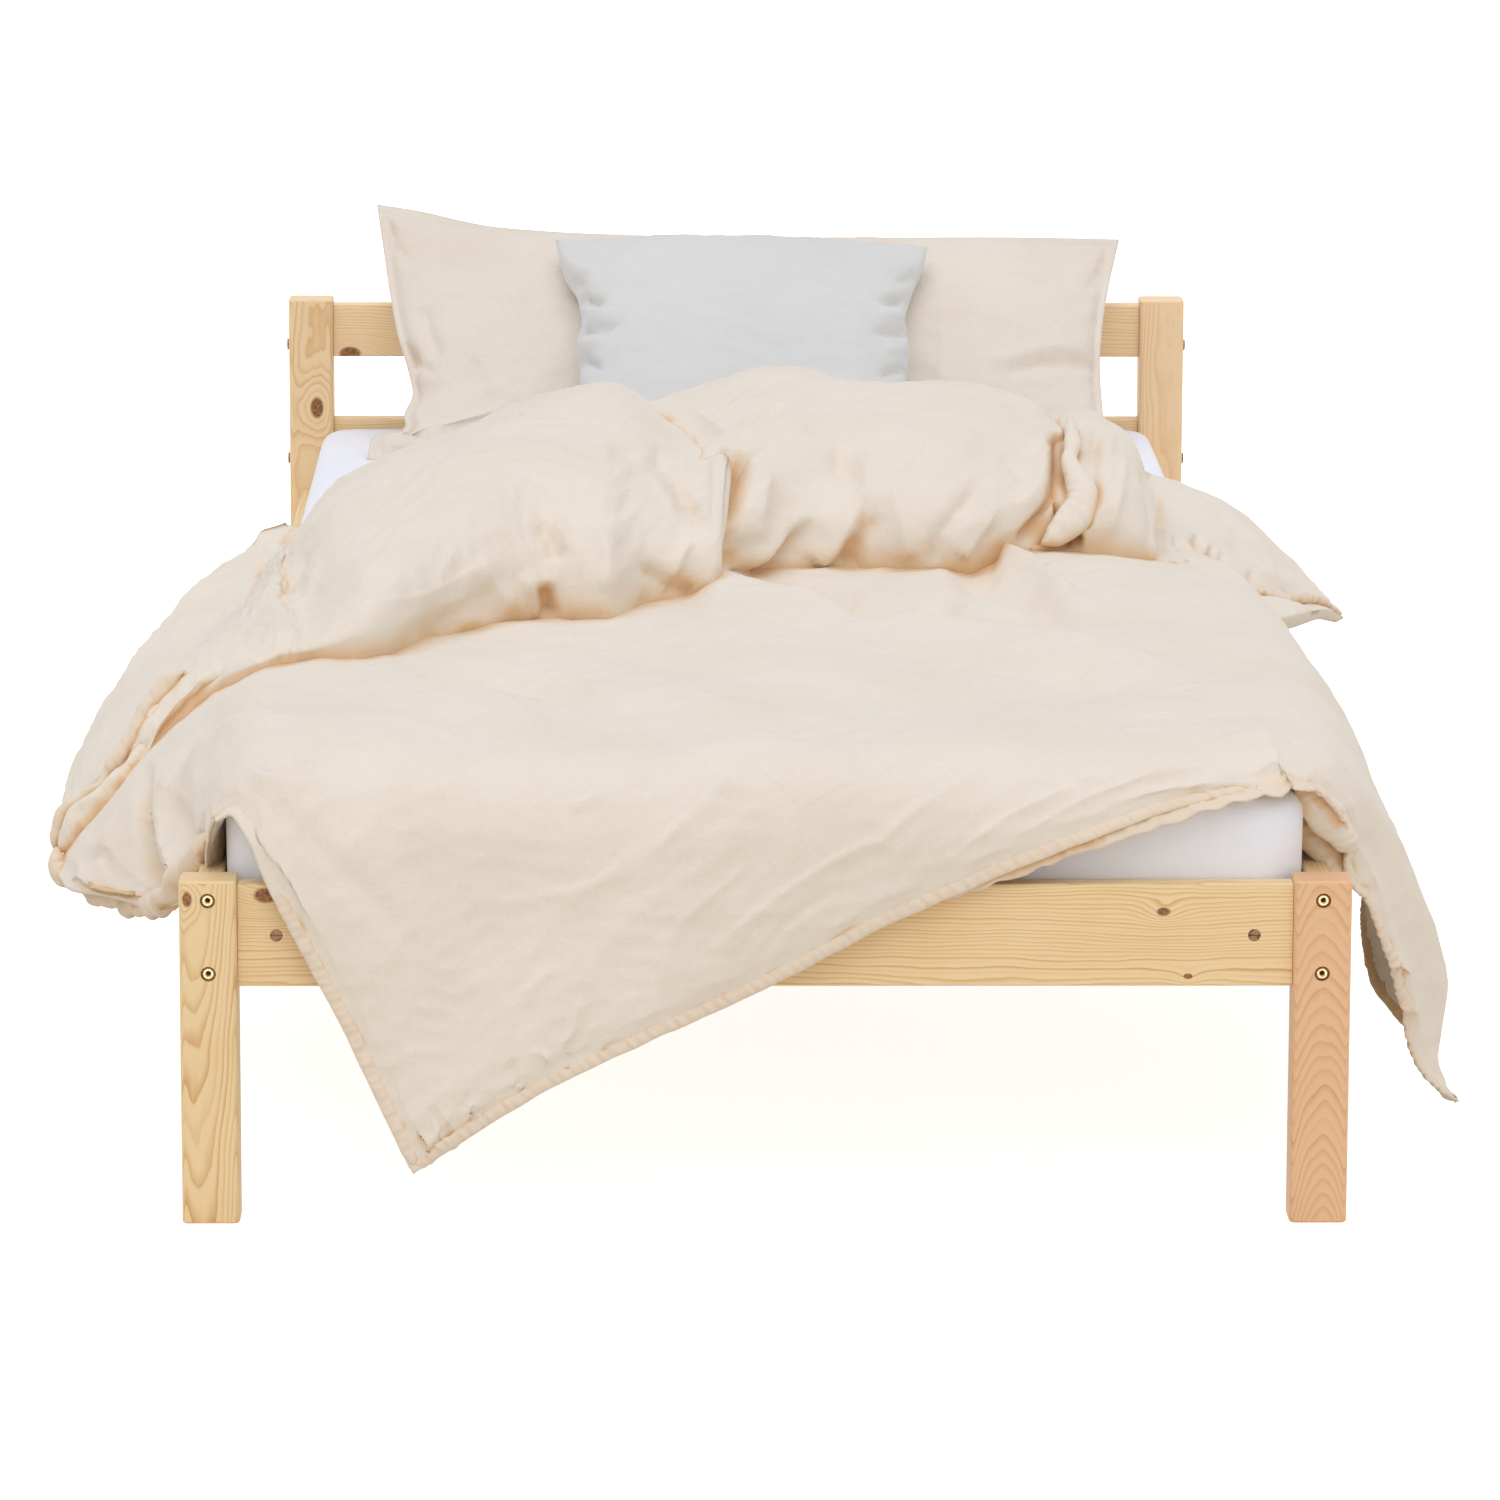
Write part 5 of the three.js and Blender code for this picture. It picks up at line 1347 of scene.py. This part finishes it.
# the bunched hump between the right lobe and the hem of the flap
hump = {
    "start": (1040, 536, 1010, 1044, 440, 1210, 1340),
    "pinch": (1060, 540, 980, 1062, 419, 1230, 1370),
    "middle": (1082, 549, 975, 1085, 412, 1240, 1390),
    "swell": (1108, 553, 975, 1112, 423, 1230, 1390),
    "fall1": (1132, 556, 980, 1134, 443, 1200, 1370),
    "fall2": (1150, 559, 990, 1151, 482, 1150, 1330),
    "hem": (1158, 561, 1000, 1157, 516, 1090, 1270),
}
leftLobeFolds = {
    "vDimple": ([(652, 440), (666, 462), (690, 500), (704, 536)], -8, 5, 13, 0.2, 0.3),
    "vRidge": ([(636, 446), (652, 474), (676, 520)], 4, 12, 5),
    "furrow": ([(604, 446), (632, 452), (662, 476)], -7, 8, 12),
    "dimple1": ([(540, 516), (552, 536), (562, 562)], -7, 5, 12),
    "dimple1Ridge": ([(556, 512), (568, 536), (574, 556)], 4, 5, 8),
    "dimple2": ([(596, 520), (606, 560), (600, 596)], 6, 12, 6),
    "pucker": ([(546, 580), (548, 600), (550, 616)], -15, 6, 9, 0.4, 0.01),
    "puckerRidge": ([(520, 570), (532, 596), (538, 614)], 8, 8, 5, 0.4, 0.01),
    "creaseFold1": ([(640, 560), (660, 580), (690, 592)], -8, 8, 8, 0.3, 0.02),
    "creaseFold2": ([(470, 560), (500, 590), (520, 610)], 5, 10, 8),
    "creaseFold3": ([(694, 540), (676, 566), (664, 590)], 5, 4, 7, 0.3, 0.02),
    "longSwell": ([(330, 600), (400, 560), (470, 520), (540, 470)], 7, 26, 34),
    "longHollow": ([(400, 640), (470, 610), (520, 570)], -6, 14, 14),
    "thinCrease1": ([(300, 564), (330, 590), (360, 600)], 1.6, 3, 6),
    "thinCrease2": ([(470, 436), (520, 440), (536, 428)], 1.6, 3, 6),
    "thinCrease3": ([(370, 540), (440, 510), (500, 500)], 1.6, 3, 8),
    "thinCrease4": ([(352, 610), (420, 596), (490, 560)], 1.4, 3, 8),
    "foldEdge": ([(714, 456), (714, 500), (712, 560), (706, 587)], 5, 14, 6, 0.1, 0.02),
    "hemPucker": ([(240, 632), (262, 636), (300, 632)], 3, 4, 8),
    "gather1": ([(310, 548), (300, 574), (276, 604)], -4, 4, 5),
    "gather2": ([(322, 556), (312, 584), (292, 606)], 3, 3, 5),
    "tailCrease1": ([(232, 656), (196, 700), (160, 738), (148, 760)], -4, 3, 5),
    "tailCrease2": ([(150, 735), (120, 768), (90, 800)], -5, 3, 4),
    "tailCrease3": ([(210, 672), (176, 704), (152, 734)], 3, 2, 4),
}
rightLobeFolds = {
    "hollow": ([(742, 452), (738, 480), (736, 520), (744, 548), (752, 580)], -24, 10, 20, 0.05, 0.02),
    "besideHollow": ([(770, 470), (762, 510), (768, 545)], 7, 8, 14),
    "pucker1": ([(725, 591), (748, 576), (785, 544), (812, 522)], 9, 10, 4, 0.02, 0.4),
    "fan1": ([(762, 588), (778, 562), (800, 536), (822, 512)], -15, 6, 16, 0.02, 0.4),
    "fan2": ([(821, 567), (837, 549), (858, 523), (866, 500)], 8, 12, 4, 0.02, 0.4),
    "fan3": ([(842, 566), (852, 540), (866, 514), (868, 488)], -14, 5, 14, 0.02, 0.4),
    "scoop": ([(826, 452), (850, 470), (862, 496)], -8, 10, 12),
    "scoopRidge": ([(858, 445), (866, 470), (860, 505)], 5, 6, 10),
    "fan4": ([(889, 490), (900, 520), (908, 558)], 5, 10, 8, 0.2, 0.02),
    "fan5": ([(930, 560), (940, 534), (966, 500), (990, 470)], -7, 8, 14, 0.02, 0.4),
    "fan6": ([(962, 558), (984, 530), (1004, 500)], 5, 10, 5, 0.02, 0.4),
    "pinch": ([(1060, 430), (1058, 470), (1048, 510), (1020, 546)], -14, 7, 6, 0.1, 0.1),
    "pinchRidge": ([(1044, 424), (1042, 466), (1024, 510)], 6, 14, 6),
    "topSwell": ([(760, 420), (840, 426), (930, 430)], 6, 26, 30),
    "topCrease1": ([(930, 490), (960, 456), (978, 430)], 3, 3, 8),
    "topCrease2": ([(900, 480), (926, 450), (940, 432)], 2.4, 3, 8),
    "topCrease3": ([(760, 440), (800, 410), (850, 400)], 2.4, 4, 9),
    "topCrease4": ([(690, 408), (720, 432), (740, 446)], 5, 7, 4),
    "sideCrease": ([(1000, 450), (1024, 474), (1036, 490)], -4, 5, 8),
}
humpFolds = {
    "bandLeft": ([(1058, 424), (1064, 446), (1062, 470), (1060, 500), (1046, 530)], -9, 5, 6, 0.1, 0.05),
    "bandRight": ([(1100, 422), (1094, 450), (1092, 480), (1094, 506), (1082, 530)], -6, 5, 8, 0.1, 0.05),
    "besideBand": ([(1114, 430), (1108, 460), (1108, 490), (1108, 520)], 4, 6, 9, 0.1, 0.1),
    "gap": ([(1044, 546), (1064, 542), (1084, 538)], -24, 5, 5, 0.2, 0.2),
    "sideRidge": ([(1126, 446), (1120, 486), (1110, 540)], 6, 5, 12),
    "hemDip": ([(1140, 462), (1150, 500), (1152, 552)], -5, 5, 4),
}


lobeSettings = {
    "turns": (13, 90, 50),  # points below the front, up it and down the back
    "bulge": (20, 0.24),  # mm above the crease where the front stands out most, or this share of the rise
    "overhang": 0.42,  # how far it stands out, as a share of that height
    "sink": 18,  # how far below the crease the front turns in again
    "full": 0.86,  # power that fills out the round of the top
    "backLow": (6, 30),  # the back ends this high above the sheet, and at least this far below the ridge
    "endRound": 12,  # mm
    "calm": (60, 40),  # mm from its left and its right end over which the swells fade in
    "swell": ((3.0, 260), (1.2, 110)),
    "crumple": (1.0, 80),
    "foldScale": 1.15,
    "underside": 24,
}


def lobeRing(station, below, rising, falling):
    # the outline across the bed at one station: tuck, bulge, ridge, back
    s = lobeSettings
    fx, fy, fa, rx, ry, ra, rear = station
    crease, ridge = seen(fx, fy, fa), seen(rx, ry, ra)
    aboveSheet, belowRidge = s["backLow"]
    back = np.array([ridge[0], footEnd + rear, min(bedTop + aboveSheet, ridge[2] - belowRidge)])
    # the front bulges out over the crease, and turns in again below
    most, share = s["bulge"]
    lift = min(most, share * (ridge[2] - crease[2]))
    over = lift * s["overhang"]
    bulge = crease + np.array([0, -over, lift])
    tuck = crease + np.array([0, over, -s["sink"]])
    under = bulge + (tuck - bulge) * (1 - np.cos(below))
    under[:, 2] = bulge[2] + (bulge[2] - tuck[2]) * np.sin(below[:, 0])
    parts = [under]
    for turn, start, end, share in ((rising, bulge, ridge, 1 - np.cos(rising)),
                                    (falling, ridge, back, -np.cos(falling))):
        part = start + (end - start) * share
        part[:, 2] = min(start[2], end[2]) + abs(end[2] - start[2]) * np.sin(turn[:, 0]) ** s["full"]
        parts.append(part)
    return np.concatenate(parts)


def lobe(name, stations, folds, seed, step):
    # a closed bulging form through the stations, pressed by the folds
    s = lobeSettings
    lowCount, upCount, downCount = s["turns"]
    below = np.linspace(-math.pi / 2, 0, lowCount)[:-1, None]
    rising = np.linspace(0, math.pi / 2, upCount)[:-1, None]
    falling = np.linspace(math.pi / 2, math.pi, downCount)[:, None]
    rings = np.array([lobeRing(station, below, rising, falling) for station in stations.values()])
    knots = lengthsAlong(rings.mean(1))
    rim = np.linspace(0, s["endRound"], 8)
    at = np.unique(np.concatenate([np.linspace(0, knots[-1], int(knots[-1] / step)), rim, knots[-1] - rim]))
    skin = np.stack([hermite(rings[:, k], knots, at) for k in range(rings.shape[1])], axis=1)
    normal = gridNormals(skin)
    steps = np.cumsum(np.linalg.norm(np.diff(skin, axis=1), axis=-1), axis=1)
    across = np.concatenate([np.zeros((len(at), 1)), steps], axis=1)
    along = at[:, None] + 0 * across
    leftCalm, rightCalm = s["calm"]
    calm = smoothstep(0, leftCalm, at)[:, None] * smoothstep(0, rightCalm, at[-1] - at)[:, None]
    (swellTall, swellLong), (smallTall, smallLong) = s["swell"]
    swell = swellTall * waves(along, across, swellLong, seed)
    swell = swell + smallTall * waves(along, across, smallLong, seed + 1)
    tall, length = s["crumple"]
    lift = (swell + tall * crumple(along, across, length, seed + 2)) * calm
    lift = lift + s["foldScale"] * pressFolds(skin, normal, folds)
    toEnd = np.clip(1 - np.minimum(at, at[-1] - at) / s["endRound"], 0, 1)
    lift = lift - (s["endRound"] * (1 - np.sqrt(1 - toEnd ** 2)))[:, None]
    skin = skin + normal * lift[..., None]
    # the underside closes each loop in a straight line
    t = np.linspace(0, 1, s["underside"])[1:-1][None, :, None]
    under = skin[:, -1:] * (1 - t) + skin[:, :1] * t
    return closedTube(name, np.concatenate([skin, under], axis=1), "duvet")


leftPiece = lobe("duvetLeftLobe", leftLobe, leftLobeFolds, 31, 3.4)
rightPiece = lobe("duvetRightLobe", rightLobe, rightLobeFolds, 41, 3)
humpPiece = lobe("duvetHump", hump, humpFolds, 51, 2)
print("duvet lobes done")

# The wing over the left side and the flap over the right side, as nets of pixels with their along
wingNet = {
    "hem": [(54, 848, 394), (72, 808, 398), (92, 791, 402), (112, 761, 408), (134, 727, 416),
            (159, 696, 428), (183, 671, 448), (210, 648, 540), (236, 630, 645), (263, 602, 765),
            (285, 580, 866), (302, 552, 970), (312, 532, 1060)],
    "face": [(53, 845, 400), (64, 815, 418), (74, 795, 440), (88, 768, 470), (105, 733, 520),
             (130, 695, 580), (158, 660, 640), (187, 636, 710), (214, 612, 780), (243, 586, 850),
             (266, 566, 920), (284, 542, 1000), (302, 529, 1066)],
    "outer": [(53, 842, 404), (57, 822, 430), (60, 797, 470), (68, 775, 520), (88, 735, 600),
              (110, 693, 680), (135, 654, 760), (160, 620, 830), (186, 593, 880), (217, 565, 930),
              (246, 550, 980), (262, 529, 1030), (284, 521, 1060)],
}
wingFolds = {
    "notch": ([(262, 560), (276, 582), (284, 606)], -7, 6, 8),
    "softFold1": ([(150, 650), (120, 700), (92, 750), (74, 800)], 4, 9, 12),
    "softFold2": ([(240, 590), (200, 630), (176, 668), (150, 704)], -5, 8, 10),
    "softFold3": ([(196, 600), (170, 640), (140, 676)], 3, 9, 10),
    "hemLine": ([(180, 668), (156, 692), (132, 722), (108, 758), (88, 790), (68, 808)], 2.5, 3, 3),
}
flapNet = {
    "front": [(1030, 548, 955), (1062, 550, 968), (1094, 549, 978), (1124, 552, 985), (1156, 560, 992),
              (1205, 586, 1000), (1248, 613, 1030), (1290, 616, 1100), (1320, 607, 1180),
              (1343, 619, 1262)],
    "middle": [(1050, 490, 1120), (1072, 485, 1130), (1098, 490, 1150), (1126, 500, 1165),
               (1152, 518, 1180), (1200, 540, 1200), (1240, 566, 1210), (1288, 592, 1220),
               (1318, 602, 1240), (1343, 618, 1264)],
    "back": [(1050, 430, 1280), (1070, 430, 1300), (1096, 440, 1310), (1124, 458, 1340), (1156, 473, 1370),
             (1202, 492, 1385), (1238, 511, 1385), (1282, 552, 1370), (1316, 586, 1330), (1343, 617, 1267)],
}
flapFolds = {
    "hemFold": ([(1330, 612), (1296, 598), (1262, 590), (1226, 578), (1180, 560)], -8, 4, 6, 0.05, 0.3),
    "hemRidge": ([(1330, 606), (1296, 590), (1264, 580), (1230, 566)], 5, 6, 6, 0.05, 0.3),
    "gather1": ([(1192, 536), (1198, 545), (1203, 554)], -10, 3, 6),
    "gather2": ([(1207, 548), (1212, 557), (1215, 566)], -10, 3, 6),
    "gather3": ([(1218, 552), (1226, 570), (1240, 588)], -10, 3, 6),
    "gather4": ([(1170, 538), (1182, 547), (1190, 556)], -7, 3, 6),
    "gather5": ([(1244, 574), (1256, 584), (1272, 594)], -6, 3, 6),
    "softFold1": ([(1160, 500), (1200, 520), (1240, 548)], 4, 6, 12),
    "softFold2": ([(1240, 530), (1262, 556), (1276, 586)], 3, 5, 10),
    "topRidge": ([(1170, 490), (1220, 516), (1270, 556), (1316, 594)], 4, 12, 14),
    "hemStep": ([(1150, 470), (1158, 510), (1162, 556)], -6, 4, 12, 0.05, 0.05),
}


def netFace(net, columns, rows):
    # the lines of a net, and the face that runs smoothly through them
    lines = np.array([curveThrough([seen(*point) for point in line], columns) for line in net.values()])
    face = hermite(lines, np.linspace(0, 1, len(lines)), np.linspace(0, 1, rows)).transpose(1, 0, 2)
    return lines, face


def facingUp(face, rows):
    # its normals, turned so that those of the first rows look upwards
    normal = gridNormals(face)
    return -normal if normal[:, :rows, 2].mean() < 0 else normal


def padding(columns, rows, columnRim, rowRim):
    # 0 at the edge of a grid, rounding up to 1 at so many points inside it
    i = np.minimum(np.arange(columns), np.arange(columns)[::-1])[:, None] / columnRim
    j = np.minimum(np.arange(rows), np.arange(rows)[::-1])[None] / rowRim
    return np.sqrt(1 - (1 - np.clip(np.minimum(i, j), 0, 1)) ** 2)


wingSettings = {
    "points": (150, 44),
    "size": (900, 5.0),  # mm along its hem, and from one row of points to the next
    "turned": 22,  # rows that turn down and back under
    "turnTo": (30, 120, -120),
    "turnSwell": (-4, 10, 6),
    "crumple": (0.8, 70),
    "swell": (1.2, 160),
    "rim": (10, 7),  # points over which its thickness rounds off
    "thickness": (3, 16),  # at its edge, and how much more inside
}
flapSettings = {
    "points": (150, 100),
    "size": (330, 3.0),
    "crumple": (0.9, 60),
    "rim": (14, 15),
    "thickness": (3, 24),
    "top": 3,
    "tip": (0.35, 0.25),  # share of its length over which it thins out, and the thickness left at its tip
}


def makeWing():
    s = wingSettings
    count, across = s["points"]
    lines, face = netFace(wingNet, count, across)
    # over the silhouette the cloth turns down and back under
    wrap = np.linspace(0, 1, s["turned"])[1:][None, :, None]
    ends = (0.1 + 0.9 * smoothstep(0, 0.25, np.linspace(0, 1, count)))[:, None, None]
    behind = np.array(s["turnTo"]) * wrap + np.array(s["turnSwell"]) * np.sin(math.pi * wrap)
    face = np.concatenate([face, lines[-1][:, None] + behind * ends], axis=1)
    rows = face.shape[1]
    normal = facingUp(face, across)
    length, rowStep = s["size"]
    along = np.linspace(0, length, count)[:, None] + np.zeros(rows)
    side = np.arange(rows)[None] * rowStep + np.zeros((count, 1))
    (crumpleTall, crumpleLong), (swellTall, swellLong) = s["crumple"], s["swell"]
    lift = pressFolds(face, normal, wingFolds) + crumpleTall * crumple(along, side, crumpleLong, 61)
    lift = lift + swellTall * waves(along, side, swellLong, 62)
    face = face + normal * lift[..., None]
    edge, more = s["thickness"]
    back = face - normal * (edge + more * padding(count, rows, *s["rim"]))[..., None]
    return closedSheet("duvetWing", face, back, "duvet")


def makeFlap():
    s = flapSettings
    count, across = s["points"]
    face = netFace(flapNet, count, across)[1]
    normal = facingUp(face, across)
    length, rowStep = s["size"]
    along = np.linspace(0, length, count)[:, None] + np.zeros(across)
    side = np.arange(across)[None] * rowStep + np.zeros((count, 1))
    tall, crumpleLong = s["crumple"]
    lift = pressFolds(face, normal, flapFolds) + tall * crumple(along, side, crumpleLong, 71)
    tipShare, tipThick = s["tip"]
    tipFade = smoothstep(0, tipShare, 1 - np.linspace(0, 1, count))[:, None]
    full = padding(count, across, *s["rim"]) * (tipThick + (1 - tipThick) * tipFade)
    edge, more = s["thickness"]
    top = face + normal * (s["top"] * full + lift)[..., None]
    return closedSheet("duvetFlap", top, face - normal * (edge + more * full)[..., None], "duvet")


wingPiece = makeWing()
flapPiece = makeFlap()

# Rolled hems and loose bands: a path of pixels, each with its along and with half the band's width there, in
# mm. "thick" is half its thickness, "ripple" how much it sways.
bandStep = 2.5  # mm between points of the path
bands = {
    "duvetWingHem": {"path": [(187, 670, 436, 3), (168, 690, 428, 8), (150, 713, 420, 9),
                              (134, 737, 412, 8), (121, 752, 406, 9), (99, 788, 396, 8),
                              (84, 800, 390, 9), (68, 812, 386, 10), (58, 836, 384, 8), (55, 852, 384, 6)],
                     "thick": 5, "seed": 81, "ripple": 2.2},
    "duvetWingBand": {"path": [(206, 668, 442, 4), (180, 697, 428, 9), (162, 722, 414, 11),
                               (150, 742, 404, 11), (136, 772, 392, 13), (112, 794, 382, 14),
                               (88, 816, 376, 13), (70, 836, 372, 12), (60, 852, 372, 8)],
                      "thick": 6, "seed": 84, "ripple": 3.2},
    "duvetPouchHem": {"path": [(56, 846, 372, 6), (58, 862, 366, 9), (70, 874, 356, 11), (92, 886, 336, 11),
                               (112, 894, 310, 11), (134, 900, 270, 12), (150, 905, 220, 12),
                               (163, 903, 170, 11), (176, 884, 120, 11), (190, 866, 86, 10),
                               (203, 850, 62, 8), (206, 832, 50, 5)],
                      "thick": 9, "seed": 87, "ripple": 2.6},
    "duvetRightStrap1": {"path": [(1293, 786, 36, 9), (1308, 797, 40, 14), (1328, 819, 46, 16),
                                  (1346, 838, 52, 13), (1358, 848, 60, 7)],
                         "thick": 8, "seed": 90, "ripple": 1.6},
    "duvetRightStrap2": {"path": [(1296, 806, 64, 8), (1306, 822, 66, 13), (1320, 844, 70, 14),
                                  (1338, 864, 74, 12), (1356, 880, 80, 6)],
                         "thick": 8, "seed": 93, "ripple": 1.6},
    # the twisted fold between the right lobe and the hump
    "duvetTwist": {"path": [(1070, 422, 1150, 4), (1072, 444, 1062, 8), (1070, 462, 1028, 8),
                            (1077, 480, 1003, 12), (1082, 498, 984, 16), (1074, 518, 970, 16),
                            (1058, 535, 960, 12), (1040, 544, 954, 5)],
                   "thick": 9, "seed": 99, "ripple": 1.0},
    "duvetFlapHem": {"path": [(1200, 560, 1090, 2), (1220, 574, 1090, 5), (1238, 590, 1100, 6),
                              (1260, 594, 1135, 6), (1280, 600, 1160, 6), (1300, 599, 1190, 6),
                              (1320, 602, 1222, 5), (1341, 616, 1256, 2)],
                     "thick": 4, "seed": 96, "ripple": 1.6},
}


def makeBand(name, band):
    stations = np.array([[*seen(px, py, along), width] for px, py, along, width in band["path"]])
    length = np.linalg.norm(np.diff(stations[:, :3], axis=0), axis=1).sum()
    line = curveThrough(stations, int(length / bandStep))
    middle = line[:, :3]
    run = np.gradient(middle, axis=0)
    run /= np.linalg.norm(run, axis=1, keepdims=True)
    toEye = eye * 1000 - middle
    toEye -= (toEye * run).sum(1, keepdims=True) * run
    toEye /= np.linalg.norm(toEye, axis=1, keepdims=True)
    settings = dict(band, width=np.clip(line[:, 3:], 1, None))
    return bandAlong(name, middle, np.cross(run, toEye), toEye, settings, band["seed"])


bandPieces = [makeBand(name, band) for name, band in bands.items()]
duvetPieces = footPieces + [leftPiece, rightPiece, humpPiece, wingPiece, flapPiece] + bandPieces
for piece in duvetPieces:
    piece.data.materials.append(clothMaterials["duvetCotton"])
print("duvet done")

# How shut in each point of the cloth is, from 0 in the open to 1 deep in a fold, kept on the mesh as "fold".
# It paints shade into the cloth's colour: a darker, warmer tint in folds, hollows and gaps
paintedShadeSettings = {
    "reach": 85,  # mm that counts as near
    "rays": 16,
    "fall": 1.6,  # power by which what is further off counts less
    "start": 0.002,  # metres off the cloth
    "stride": 3,  # every third point of a grid is looked at
    "open": 0.04,
    "shut": 0.55,
    "hem": 0.3,  # painted shade that a hem gets at least
}


def shutIn(points, normals, tree):
    # share of the directions round each normal in which other cloth is near
    s = paintedShadeSettings
    turn = math.pi * (3 - math.sqrt(5)) * np.arange(s["rays"])
    high = np.sqrt(1 - (np.arange(s["rays"]) + 0.5) / s["rays"])
    flat = np.sqrt(1 - high * high)
    side = np.cross(normals, np.where(np.abs(normals[:, :1]) < 0.8, [[1.0, 0, 0]], [[0, 1.0, 0]]))
    side /= np.linalg.norm(side, axis=1, keepdims=True)
    other = np.cross(normals, side)
    start = points + normals * s["start"]
    reach = s["reach"] / 1000
    total = np.zeros(len(points))
    for a, h, f in zip(turn, high, flat):
        ways = normals * h + side * (f * math.cos(a)) + other * (f * math.sin(a))
        for k, (place, way) in enumerate(zip(start.tolist(), ways.tolist())):
            gap = tree.ray_cast(place, way, reach)[3]
            if gap is not None:
                total[k] += (1 - gap / reach) ** s["fall"]
    return total / s["rays"]


def spread(coarse, places, shape):
    # values on a coarse grid, filled in between
    rows = np.stack([np.interp(np.arange(shape[1]), places[1], line) for line in coarse])
    return np.stack([np.interp(np.arange(shape[0]), places[0], line) for line in rows.T], axis=1)


def paintFoldShade(pieces, blockers):
    points, faces, start = [], [], 0
    for piece in pieces + blockers:
        own = vertexValues(piece, "co")
        points.append(own)
        faces += [[start + v for v in face.vertices] for face in piece.data.polygons]
        start += len(own)
    tree = BVHTree.FromPolygons(np.concatenate(points).tolist(), faces)
    s = paintedShadeSettings
    for piece in pieces:
        shape = gridShapes[piece.name]
        size = shape[0] * shape[1]
        own, normals = vertexValues(piece, "co"), vertexValues(piece, "normal")
        places = [np.unique(np.append(np.arange(0, n, s["stride"]), n - 1)) for n in shape]
        pick = (places[0][:, None] * shape[1] + places[1]).ravel()
        found = shutIn(own[pick], normals[pick], tree).reshape(len(places[0]), len(places[1]))
        fold = smoothstep(s["open"], s["shut"], spread(found, places, shape)).ravel()
        if "Hem" in piece.name:  # the hems get at least some painted shade everywhere
            fold = s["hem"] + (1 - s["hem"]) * fold
        whole = np.zeros(len(own))
        whole[:size] = fold
        if len(own) >= 2 * size and piece in duvetPieces:  # the duvet's undersides take what lies over them
            whole[size:2 * size] = fold
        piece.data.attributes.new("fold", "FLOAT", "POINT").data.foreach_set("value", whole)


# Each by itself, because the pillow and the cushion also show without what lies on them
paintFoldShade(duvetPieces, [fittedSheet])
paintFoldShade([pillowPiece], [])
paintFoldShade([cushionPiece], [])
print("folds marked")
